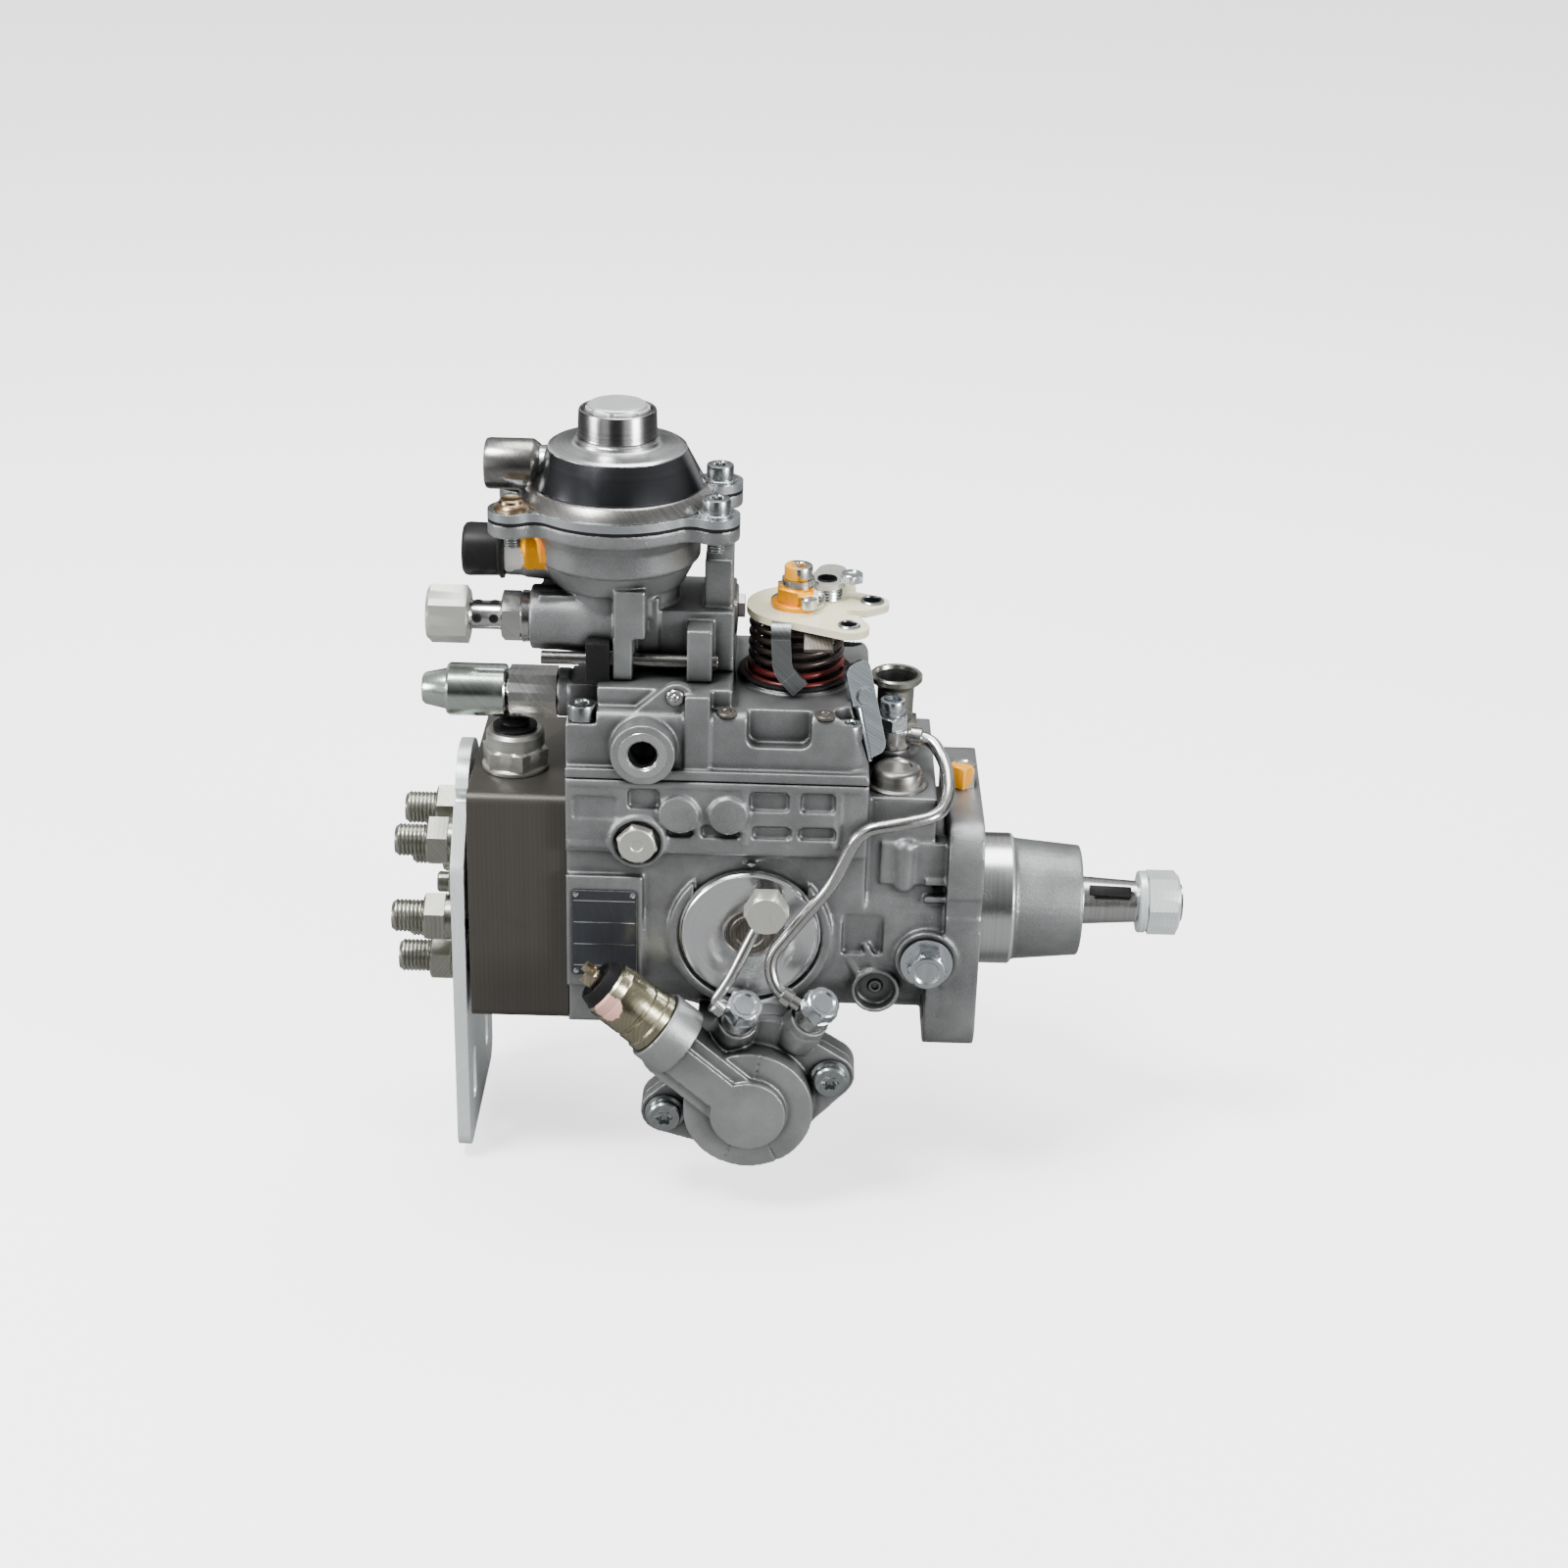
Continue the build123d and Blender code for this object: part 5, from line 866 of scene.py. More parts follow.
tower = {"x": towerAxis[0], "rimZ": 158.0, "capZ": 179.0, "earX": 36.0, "earY": 19.0, "screwEnd": 143.8}
towerRim, towerCapSeat = (tower["x"], 0, tower["rimZ"]), (tower["x"], 0, tower["capZ"])
capSeats = {
    # places of the socket screws' heads
    "cover": [(x, y, z) for x, z in ((-146.5, 85.0), (-51.0, 80.0)) for y in (-34.2, 34.2)],
    "head": [(-180.4, y, z) for y, z in ((-31.0, -30.5), (31.0, -30.5), (-31.0, 44.0), (31.0, 44.0))],
}
ears = [(tower["x"] + x, y) for x in (-tower["earX"], tower["earX"]) for y in (-tower["earY"], tower["earY"])]
sealedEar, plainEars = ears[0], ears[1:]


def capScrews():
    heads = [capHead(seat, up, capScrew) for seat in capSeats["cover"]]
    heads += [capHead((x, y, tower["rimZ"]), up, capScrew) for x, y in plainEars]
    heads += [capHead(seat, toHead, capScrew) for seat in capSeats["head"]]
    for x, y in ears:
        # washers under the compensator's screws and their ends below its flange
        heads.append(stack(((0, 6.2), (0.3, 6.4), (0.8, 6.4), (1.0, 6.1)), (x, y, tower["rimZ"] - 0.1)))
        heads.append(stack(threadRings(3.0, 1.0, 5.0, depth=0.3), (x, y, tower["screwEnd"]), segments=24))
    return heads


makePiece("capScrews", "screwZinc", capScrews(), replaced=("m6_screws",))
starSet = {
    "ears": ((-114.6, -64.3), (-53.4, -47.2)), "face": 57.0,
    "rings": ((0, 7.2), (0.4, 7.4), (1.2, 7.3), (1.6, 6.3), (4.2, 6.2), (4.9, 5.6), (5.0, 4.0),
              (4.9, 3.3, "star"), (2.2, 3.1, "star"), (1.6, 0.0)),
}
starSeats = [(x, y, z) for x, z in starSet["ears"] for y in (-starSet["face"], starSet["face"])]
makePiece("starScrews", "screwZinc", [stack(starSet["rings"], seat, (0, seat[1], 0)) for seat in starSeats])
boltSet = {
    "turn": 0.4,
    "pipes": {"across": 12.0, "height": 6.5},
    "lock": {"across": 13.0, "height": 8.0, "washer": 9.6, "middle": (-19.4, -46.3, -4.0),
             "axis": toPlateSide},
    "topUnion": {
        "middle": (-34.5, -6.5, 73.0),
        "rings": ((0, 5.2), (0.3, 5.5, "hex"), (4.6, 5.5, "hex"), (5.0, 5.2), (5.2, 4.2), (5.8, 4.2),
                  (6.0, 4.7), (7.0, 4.7), (7.2, 4.3), (7.8, 4.3), (8.0, 4.7), (10.4, 4.7), (10.9, 4.4),
                  (10.9, 3.3), (6.0, 2.9), (6.0, 0.0)),
    },
}


def boltParts(s):
    parts = []
    for eye in pipeSeats.values():
        middle = offsetFrom(eye["seat"], eye["rise"])
        parts += hexHead(middle=middle, axis=eye["axis"], turn=s["turn"], **s["pipes"])
    return parts + hexHead(turn=s["turn"], **s["lock"]) + [stack(**s["topUnion"])]


makePiece("bolts", "zincPlate", boltParts(boltSet), replaced=("hex_bolts",))
flangePlug = {"across": 9.0, "height": 8.5, "middle": (-7.0, 0, 47.5), "axis": up, "dish": 0.5}
makePiece("flangePlug", "orangeHex", hexHead(**flangePlug))
turnedScrews = {
    "sealedScrew": {
        "finish": "goldWasher", "middle": (*sealedEar, tower["rimZ"]),
        "rings": ((0, 6.4), (0.4, 6.6), (1.2, 6.2), (2.2, 4.6), (3.2, 4.2), (3.6, 3.6), (3.0, 2.2),
                  (3.0, 0.0))},
    "windowBolt": {
        "finish": "paleHex", "slot": "zinc_steel", "middle": (-78.6, -56.5, 22.9), "axis": toPlateSide,
        "turn": pi / 6,
        "rings": ((0, 6.7), (0.2, 7.0, "hex"), (7.6, 7.0, "hex"), (8.5, 6.9), (8.5, 0.0))},
    "sunkPlug": {
        "finish": "paleHex", "middle": (-126.0, -42.6, 40.8), "axis": toPlateSide, "turn": 0.25,
        "rings": ((-1.0, 6.4), (1.4, 6.6, "hex"), (3.4, 6.6, "hex"), (4.3, 6.7), (4.6, 6.2), (4.5, 2.4),
                  (4.2, 2.0), (4.2, 0.0))},
    "centrePlug": {
        "finish": "oliveSteel", "middle": (-190.0, 0, 0), "axis": toHead,
        "rings": ((0, 7.2), (0.3, 7.5, "hex"), (9.2, 7.5, "hex"), (10.0, 7.1), (10.0, 4.4), (10.3, 4.0),
                  (14.2, 4.0), (14.8, 3.4), (14.8, 0.0))},
    "corePlug": {
        "finish": "coverCast", "replaced": ("screw_plugs",), "middle": (-37.6, -37.6, -18.7),
        "axis": toPlateSide,
        "rings": ((-3.0, 7.6), (-0.4, 7.6), (0.3, 7.2), (0.5, 6.4), (0.2, 5.6), (0.1, 3.2), (0.7, 2.8),
                  (1.2, 2.3), (1.2, 1.5), (-1.0, 1.3, "hex"), (-1.0, 0.0))},
}
ringPieces(turnedScrews)
print("screws made")

# outlets: hexagons, threads and coned mouths
outletSet = {
    "circle": 28.3, "count": 6, "seat": -190.0,
    "collar": ((0, 8.3), (7.8, 8.3), (8.0, 8.5, "hex"), (8.8, 8.5, "hex"), (15.2, 8.5, "hex"),
               (16.0, 8.0), (16.0, 5.4)),
    "thread": {"radius": 6.1, "pitch": 1.5, "length": 10.5, "start": 16.6},
    "mouth": ((28.0, 5.0), (28.0, 4.0), (24.0, 1.5), (20.0, 1.4), (20.0, 0.0)),
}


def outletParts(s):
    rings = [*s["collar"], *threadRings(**s["thread"]), *s["mouth"]]
    angles = [2 * pi * index / s["count"] for index in range(s["count"])]
    return [stack(rings, (s["seat"], s["circle"] * cos(angle), s["circle"] * sin(angle)), toHead, turn=angle)
            for angle in angles]


makePiece("outlets", "oliveSteel", outletParts(outletSet), replaced=("delivery_valve_holders",))

# sleeve and union on the compensator's housing
sleeveMiddle = (-156.8, -12.0, 85.5)
sideFittings = {
    "adjusterSleeve": {
        "finish": "zincSleeve", "middle": sleeveMiddle, "axis": toHead,
        "rings": ((18.6, 8.2), (18.8, 9.3), (19.4, 9.7), (39.4, 9.7), (40.4, 9.0), (40.6, 7.6), (48.4, 5.9),
                  (49.4, 5.0), (49.5, 0.0))},
    "adjusterHex": {
        "finish": "turnedSteel", "slot": "olive_steel", "replaced": ("full_load_screw",),
        "middle": sleeveMiddle, "axis": toHead, "turn": pi / 6,
        "rings": ((0, 8.0), (0.2, 8.4, "hex"), (17.4, 8.4, "hex"), (18.2, 8.0))},
    "ventUnion": {
        "finish": "turnedSteel", "slot": "olive_steel", "replaced": ("vent_union",),
        "middle": ventMiddle, "axis": toHead,
        "rings": ((0, 9.3), (2.4, 9.5), (3.0, 9.0), (3.2, 8.5, "hex"), (9.4, 8.5, "hex"), (10.0, 8.0),
                  (10.0, 5.6), (11.0, 5.2), (20.8, 5.2), (21.6, 5.8), (21.8, 9.0))},
    "ventNut": {
        "finish": "paleHex", "middle": ventMiddle, "axis": toHead, "turn": 0.1,
        "rings": ((21.6, 5.8), (21.8, 9.0), (22.4, 9.5, "hex"), (35.8, 9.5, "hex"), (37.0, 8.9), (37.0, 8.0),
                  (36.4, 7.4), (36.4, 0.0))},
}
ringPieces(sideFittings)
# small black cones where the vent union's holes are: painted shade in the holes
ventHoleShadeSet = {"xs": (-185.6, -179.6), "axes": ((0, -1, 0.1), (0, 1, 0), up),
               "rings": ((3.6, 0.0), (5.26, 1.3), (5.3, 1.5), (5.2, 1.7))}
makePiece("ventHoleShades", "blackNylon", [stack(ventHoleShadeSet["rings"], (x, *ventMiddle[1:]), axis, segments=24)
                                      for x in ventHoleShadeSet["xs"] for axis in ventHoleShadeSet["axes"]])

# compensator: bright rim, a cone painted near-black for the dark reflection it shows, bright crown, cap with
# its notched disc, fitting and port cap
towerPieces = {
    "coverRim": {
        "finish": "smokedChrome", "middle": towerRim, "segments": 96,
        "rings": ((0, 34.6), (0.5, 34.9), (1.6, 34.2), (4.2, 32.4), (5.0, 31.4), (5.2, 30.4))},
    "coverCone": {
        "finish": "coneChrome", "middle": towerRim, "segments": 96,
        "rings": ((4.8, 31.2), (5.6, 31.3), (6.4, 30.9), (17.4, 25.0), (18.1, 24.4))},
    "coverCrown": {
        "finish": "crownSatin", "middle": towerRim, "segments": 96,
        "rings": ((17.3, 24.9), (18.0, 24.8), (18.4, 24.2), (18.7, 22.5), (19.0, 17.0), (19.8, 15.6),
                  (21.6, 14.8), (21.6, 0.0))},
    "towerCap": {
        "finish": "capSteel", "replaced": ("aneroid_cap",), "middle": towerCapSeat, "segments": 96,
        "rings": ((0, 15.2), (0.7, 14.5), (1.6, 14.2), (9.8, 13.9), (10.5, 13.6), (10.7, 13.2), (10.6, 12.8),
                  (8.6, 12.6), (8.6, 0.0))},
    "capDisc": {
        "finish": "discSatin", "middle": towerCapSeat, "segments": 96,
        "rings": ((9.4, 10.4), (9.9, 11.5, "notched"), (11.2, 11.4, "notched"), (11.4, 10.6), (12.1, 10.4),
                  (12.5, 9.8), (12.5, 0.0))},
    "boostFittingTube": {
        "finish": "smokedChrome", "replaced": ("aneroid_fitting",), "middle": (-163.0, 0, 168.0),
        "axis": toHead, "segments": 72,
        "rings": ((0, 6.0), (0.4, 7.4), (2.6, 9.0), (3.4, 9.2), (18.4, 9.2), (19.6, 8.8), (20.0, 8.0),
                  (20.0, 6.6), (16.0, 6.2), (16.0, 0.0))},
    "portCap": {
        "finish": "blackNylon", "replaced": ("boost_port_cap",), "middle": portMiddle,
        "axis": toHead, "segments": 72,
        "rings": ((0, 9.2), (0.3, 10.3), (1.5, 10.4), (1.9, 9.7), (2.3, 9.4), (12.8, 9.7), (14.2, 9.3),
                  (15.0, 8.2), (15.1, 0.0))},
}
ringPieces(towerPieces)
sealBlock = {"low": (-145.6, -28.6, 96.2), "high": (-137.0, -15.8, 111.2), "bevel": 0.8}
makePiece("sealBlock", "blackNylon", [brick(**sealBlock)])

# shut-off solenoid: hexagon, can, black top and threaded post
stopSeat = (*stopAxis[:2], 55.0)
stopSolenoid = {
    "stopSolenoidBody": {
        "finish": "satinSteel", "replaced": ("shutoff_solenoid",), "middle": stopSeat,
        "turn": 0.3,
        "rings": ((0, 11.8), (0.4, 12.3), (1.6, 12.3), (2.1, 11.2), (2.3, 11.0, "hex"), (8.4, 11.0, "hex"),
                  (9.2, 10.6))},
    "stopSolenoidCan": {
        "finish": "satinSteel", "middle": stopSeat,
        "rings": ((9.0, 10.4), (9.4, 10.7), (14.0, 10.7), (15.2, 9.6), (15.4, 8.2))},
    "stopSolenoidTop": {
        "finish": "blackNylon", "middle": stopSeat,
        "rings": ((15.2, 8.0), (16.6, 8.2), (17.0, 7.4), (17.1, 5.2), (18.0, 5.6), (18.6, 5.2), (19.4, 5.6),
                  (20.0, 4.6), (20.2, 0.0))},
    "stopSolenoidPost": {
        "finish": "darkSteel", "middle": stopSeat,
        "rings": [(16.8, 4.4), (17.0, 4.0, "hex"), (19.2, 4.0, "hex"), (19.4, 3.4),
                  *threadRings(2.4, 0.8, 3.0, start=19.4, depth=0.25), (22.5, 0.0)]},
}
ringPieces(stopSolenoid)

# timing solenoid: stepped can, crimped rim, black connector and two blades round a post
timingSeat, timingAxis = (-118.0, -62.0, -24.0), (-0.77, 0.0, 0.64)
timingSolenoid = {
    "timingCan": {
        "finish": "yellowZinc", "replaced": ("timing_solenoid",), "middle": timingSeat,
        "axis": timingAxis,
        "rings": ((0, 11.6), (0.4, 12.0), (3.0, 12.0), (3.6, 11.2), (8.0, 11.2), (8.5, 10.4), (9.4, 10.4),
                  (9.9, 11.0), (18.5, 11.0), (19.2, 10.6), (20.0, 10.7), (23.0, 10.6), (23.8, 9.9),
                  (24.0, 8.6))},
    "timingConnector": {
        "finish": "blackNylon", "middle": timingSeat, "axis": timingAxis,
        "rings": ((23.2, 9.6), (24.6, 9.4), (27.2, 8.6), (28.0, 8.2), (28.2, 7.2), (26.6, 6.6),
                  (26.6, 0.0))},
}
ringPieces(timingSolenoid)
terminalSet = {"apart": 4.0, "thick": 0.9, "wide": 4.4, "low": 26.0, "high": 34.0, "bevel": 0.2,
               "post": ((26.4, 3.6), (30.0, 3.6), (30.4, 3.2), (30.4, 0.0))}


def terminalParts(s):
    half, side = s["thick"] / 2, s["wide"] / 2
    blades = [brick((x - half, -side, s["low"]), (x + half, side, s["high"]), s["bevel"])
              for x in (-s["apart"], s["apart"])]
    post = stack(s["post"], timingSeat, timingAxis)
    return [*(settle(blade, timingSeat, timingAxis) for blade in blades), post]


makePiece("timingTerminals", "brass", terminalParts(terminalSet))

# throttle spring: round wire, wound on the lever's own axis
leverX = -70.5
springSet = {"radius": 16.3, "wire": 1.3, "low": 97.0, "high": 113.0, "turns": 4}
redSets = ({"radius": 16.6, "wire": 1.3, "low": 92.4, "high": 97.0, "turns": 1},
           {"radius": 18.0, "wire": 1.0, "low": 91.8, "high": 93.0, "turns": 1})


def springCoil(radius, wire, low, high, turns, perTurn=40):
    part = bmesh.new()
    bmesh.ops.create_circle(part, cap_ends=True, segments=12, radius=wire)
    bmesh.ops.rotate(part, matrix=Matrix.Rotation(pi / 2, 3, "X"), verts=part.verts)
    bmesh.ops.translate(part, vec=(radius, 0, low), verts=part.verts)
    steps = turns * perTurn
    bmesh.ops.spin(part, geom=part.faces[:] + part.edges[:] + part.verts[:], cent=(0, 0, 0), axis=up,
                   dvec=(0, 0, (high - low) / steps), angle=2 * pi * turns, steps=steps, use_merge=False)
    bmesh.ops.translate(part, vec=(leverX, 0, 0), verts=part.verts)
    bmesh.ops.remove_doubles(part, verts=part.verts, dist=weld)
    bmesh.ops.recalc_face_normals(part, faces=part.faces)
    return part


makePiece("throttleCoil", "springWire", [springCoil(**springSet)], replaced=("throttle_spring",))
makePiece("redCoil", "redCoil", [springCoil(**s) for s in redSets])
springSeats = {
    "springCore": {
        "finish": "blackNylon", "middle": (leverX, 0, 92.0),
        "rings": ((0, 12.6), (20.0, 12.6), (21.0, 11.8), (21.0, 0.0))},
    "springSeat": {
        "finish": "blackNylon", "slot": "spring_steel", "middle": (leverX, 0, 91.5), "segments": 72,
        "rings": ((0, 20.6), (0.3, 20.9), (1.0, 20.9), (1.3, 20.4), (1.3, 13.0), (0.6, 11.0), (0, 11.0))},
}
ringPieces(springSeats)

# throttle lever: joined lobes cut from plate, a second plate above, a hook and a folded tab
leverSet = {
    "low": 115.0, "high": 117.8, "bevel": 0.35,
    # each lobe and hole is the hull of circles (x, y, radius) from the lever's axis
    "lobes": (((0, 0, 18.5), (9, 3, 15), (27.2, 4.2, 6.3)), ((1, -2, 16), (18.6, -20.5, 7.2)),
              ((6, 8, 10), (15, 20, 6.5))),
    "holes": (((27.2, 4.2, 3.1),), ((18.0, -20.5, 3.1), (19.6, -20.5, 3.1)), ((15, 20, 2.6),),
              ((20.0, -7.4, 2.4), (32.0, -9.4, 3.6)), ((0, 0, 6.3),)),
}
upperSet = {
    "low": 122.6, "high": 124.6, "bevel": 0.35,
    "lobes": (((10.5, 8.0, 6.6), (20.5, 7.5, 4.6)), ((10.5, 8.0, 6.6), (12.5, 19.0, 5.2))),
    "holes": (((10.6, 8.2, 3.7),), ((12.8, 18.6, 2.1),), ((21, 7.5, 1.4),)),
}


def hullPlate(circles, low, high):
    flat = bmesh.new()
    for x, y, radius in circles:
        ring = bmesh.ops.create_circle(flat, cap_ends=False, segments=40, radius=radius)["verts"]
        bmesh.ops.translate(flat, vec=(x, y, low), verts=ring)
    hull = bmesh.ops.convex_hull(flat, input=flat.verts)
    spare = [v for v in flat.verts if v in hull["geom_interior"]]
    bmesh.ops.delete(flat, geom=spare, context="VERTS")
    bmesh.ops.dissolve_limit(flat, angle_limit=radians(0.5), verts=flat.verts, edges=flat.edges)
    if len(flat.faces) > 1:
        bmesh.ops.delete(flat, geom=flat.faces[1:], context="FACES_ONLY")
    raised = bmesh.ops.extrude_face_region(flat, geom=flat.faces[:], use_keep_orig=True)["geom"]
    bmesh.ops.translate(flat, vec=(0, 0, high - low), verts=ofKind(raised, bmesh.types.BMVert))
    bmesh.ops.translate(flat, vec=(leverX, 0, 0), verts=flat.verts)
    bmesh.ops.recalc_face_normals(flat, faces=flat.faces)
    return flat


def cutPlate(name, s, finish, replaced=()):
    low, high = s["low"], s["high"]
    mesh = scaledMesh(hullPlate(s["lobes"][0], low, high))
    for lobe in s["lobes"][1:]:
        mesh = carve(mesh, hullPlate(lobe, low, high), "UNION")
    for hole in s["holes"]:
        mesh = carve(mesh, hullPlate(hole, low - 1, high + 1))
    thing = showPiece(mesh, name, finish, body="throttle", slot="zinc_steel", replaced=replaced)
    breakEdges(thing, s["bevel"], 50)


hookSet = {
    "start": (-76.2, -15.0, 116.4), "width": 7.0, "thickness": 2.0,
    # pushes by a step, bends round a centre and axis by an angle
    "moves": (("push", (0, -2.6, 0)), ("bend", (-76.2, -17.6, 112.4), (1, 0, 0), pi / 2),
              ("push", (0.6, 0, -8.0)), ("bend", (-66.0, -21.6, 104.4), (0, 1, 0), -0.75),
              ("push", (4.2, 0, -4.6))),
}


def bentStrip(start, width, thickness, moves):
    # a flat strip that is pushed and bent, starting as one upright face that looks to the plate side
    strip = bmesh.new()
    bmesh.ops.create_grid(strip, x_segments=1, y_segments=1, size=0.5)
    bmesh.ops.scale(strip, vec=(width, thickness, 1), verts=strip.verts)
    bmesh.ops.rotate(strip, matrix=Matrix.Rotation(pi / 2, 3, "X"), verts=strip.verts)
    bmesh.ops.translate(strip, vec=start, verts=strip.verts)
    face = strip.faces[:]
    for kind, *values in moves:
        if kind == "push":
            made = bmesh.ops.extrude_face_region(strip, geom=face)["geom"]
            bmesh.ops.translate(strip, vec=values[0], verts=ofKind(made, bmesh.types.BMVert))
        else:
            centre, axis, angle = values
            geom = face + list({e for f in face for e in f.edges}) + list({v for f in face for v in f.verts})
            made = bmesh.ops.spin(strip, geom=geom, cent=centre, axis=axis, angle=angle, steps=8)["geom_last"]
        face = ofKind(made, bmesh.types.BMFace)
    bmesh.ops.remove_doubles(strip, verts=strip.verts, dist=weld)
    bmesh.ops.holes_fill(strip, edges=[e for e in strip.edges if e.is_boundary])
    bmesh.ops.recalc_face_normals(strip, faces=strip.faces)
    return strip


tabSet = {"low": (-68.0, -27.5, 112.6), "high": (-57.5, -19.5, 114.4), "bevel": 0.5}
tabFold = {"middle": (-62, -19.5, 113.5), "angle": 24.0}
eyeletSet = {
    "seat": leverSet["high"] - 0.3, "places": ((-43.3, 4.2, 3.2), (-52.1, -20.6, 2.8)),
    # (height, width beyond the hole's radius)
    "rings": ((0.3, 0.0), (0.3, 1.1), (0.8, 1.3), (1.2, 0.9), (1.2, 0.2), (0.3, 0.0)),
}
holeShadeSet = {
    # black sleeves in the round holes, which stay open, painting the shade inside them: (x, y, radius, top,
    # depth)
    "places": ((-59.9, 8.2, 3.7, upperSet["high"], -1.9),
               *((*place, leverSet["high"], -2.7) for place in eyeletSet["places"])),
    "wall": 0.3, "gap": 0.02, "rim": 0.5, "crown": 0.65, "crownIn": 0.16,
}
leverNut = {
    "seat": (leverX, 0, 117.6),
    "collar": ((0, 9.6), (0.5, 9.9), (1.8, 9.9), (2.2, 9.2), (2.3, 7.4, "hex"), (7.2, 7.4, "hex"), (7.8, 6.9),
               (7.8, 5.2)),
    "shaft": ((7.6, 5.4), (8.0, 5.6), (9.0, 5.6), (9.4, 4.9),
              *threadRings(5.0, 1.0, 2.0, start=9.4, depth=0.4)),
    "screwSeat": (leverX, 0, 128.0),
    "screw": {"head": 5.2, "height": 5.0, "socket": 2.5, "depth": 3.0},
}
leverStops = {
    "peg": {"middle": (-66.6, -8.6, 119.6), "segments": 24,
            "rings": ((0, 2.9), (0.3, 3.1), (3.6, 3.1), (4.2, 2.6), (4.4, 0.0))},
    "bush": {"middle": (-60.0, 8.0, 117.6),
             "rings": ((0, 5.4), (0.4, 5.9), (1.2, 5.6), (1.6, 5.9), (2.4, 5.6), (2.8, 5.9), (3.6, 5.6),
                       (4.0, 5.9), (5.0, 5.4), (5.0, 4.2), (0.3, 4.0), (0.3, 0.0))},
    "screw": {"across": 8.0, "height": 3.2, "middle": (-51.0, 7.5, 124.4), "axis": up},
}


def foldedTab():
    tab = brick(**tabSet)
    fold = Matrix.Rotation(radians(tabFold["angle"]), 3, "X")
    bmesh.ops.rotate(tab, cent=tabFold["middle"], matrix=fold, verts=tab.verts)
    return tab


def eyelets(s):
    return [stack([(height, radius + wide) for height, wide in s["rings"]], (x, y, s["seat"]), segments=32)
            for x, y, radius in s["places"]]


def holeShade(x, y, radius, top, depth, s):
    outer, inner, rim = radius - s["gap"], radius - s["wall"], s["rim"]
    crown = (s["crown"], radius - s["crownIn"])
    rings = ((depth, inner), (depth, outer), (rim, outer), crown, (rim, inner), (depth, inner))
    return stack(rings, (x, y, top), segments=40)


cutPlate("leverPlate", leverSet, "creamZinc", ("throttle_lever",))
cutPlate("upperPlate", upperSet, "paleHex")
onLever = {"body": "throttle", "slot": "zinc_steel"}
makePiece("leverHook", "hookSteel", [bentStrip(**hookSet)], sharp=50.0, **onLever)
makePiece("leverEyelets", "screwZinc", eyelets(eyeletSet), **onLever)
holeShades = [holeShade(*place, holeShadeSet) for place in holeShadeSet["places"]]
# black sleeves painting the shade inside the lever's open holes
makePiece("leverHoleShades", "blackNylon", holeShades, body="throttle")
makePiece("leverTab", "darkSteel", [foldedTab()], **onLever)
makePiece("leverNut", "markedZinc",
          [stack(leverNut["collar"], leverNut["seat"]), stack(leverNut["shaft"], leverNut["seat"]),
           capHead(leverNut["screwSeat"], up, leverNut["screw"])],
          replaced=("lever_screws",), **onLever)
makePiece("leverStops", "zincPlate",
          [stack(**leverStops["peg"]), stack(**leverStops["bush"]), *hexHead(**leverStops["screw"])],
          **onLever)

# stop strip beside the cover, folded along its left edge
stripSet = {
    "top": (-48.6, -20.0, 103.5), "foot": (-40.4, -22.0, 68.0), "out": (0.62, -0.78, 0.12),
    "width": 11.0, "thick": 2.0, "corner": 3.6, "foldShare": 0.60, "foldDepth": 4.2,
    "pad": ((-2.2, 3.4), (0.6, 3.4), (1.0, 3.0), (1.0, 0.0)), "padDrop": 13.0,
}


def stopStrip(s):
    rise = Vector(s["top"]) - Vector(s["foot"])
    along = rise.normalized()
    across = along.cross(Vector(s["out"])).normalized()
    normal = across.cross(along).normalized()
    half, length, thick = s["width"] / 2, rise.length, s["thick"]
    plate = brick((-half, 0, -thick), (half, length, 0))
    upright = [e for e in plate.edges if abs(e.verts[0].co.z - e.verts[1].co.z) > thick / 2]
    roundEdges(plate, upright, s["corner"], 5)
    fold = brick((-half - 1.0, 0.5, -thick), (-half + 0.9, length * s["foldShare"], s["foldDepth"]), 0.5)
    pad = stack(s["pad"], (0, length - s["padDrop"], 0), segments=24)
    place = Matrix((across, along, normal)).transposed().to_4x4()
    for part in (plate, fold, pad):
        bmesh.ops.transform(part, matrix=Matrix.Translation(s["foot"]) @ place, verts=part.verts)
    return plate, fold, pad


makePiece("stopStrip", "strippedZinc", stopStrip(stripSet), replaced=("stop_bracket",))

# shaft nut with its washer, and the thread in front of it
shaftPieces = {
    "shaftNutDetail": {
        "finish": "footZinc", "body": "drive_line", "replaced": ("shaft_nut",), "middle": (62.7, 0, 0),
        "axis": toNut, "turn": 0.35,
        "rings": ((0, 7.2), (0, 11.6), (0.4, 11.9), (2.6, 11.9), (3.0, 11.5), (3.1, 9.6), (3.3, 9.6),
                  (3.5, 11.0, "hex"), (14.2, 11.0, "hex"), (15.4, 10.4), (15.7, 9.0), (15.7, 7.6),
                  (14.9, 7.1))},
    "shaftThread": {
        "finish": "turnedSteel", "body": "drive_line", "middle": (76.4, 0, 0), "axis": toNut,
        "rings": [*threadRings(7.02, 1.5, 3.0, depth=0.0), (3.0, 6.2)]},
}
ringPieces(shaftPieces)

# key slot along the taper, turned towards the plate side, as a black bar that paints the shade in the slot
taper = {"back": 36.0, "backRadius": 9.5, "front": 62.0, "frontRadius": 7.95}
slotSet = {"middle": 51.5, "half": 8.0, "width": 4.2, "sunk": 1.2, "proud": 0.35, "bevel": 0.15, "turn": 38.0}


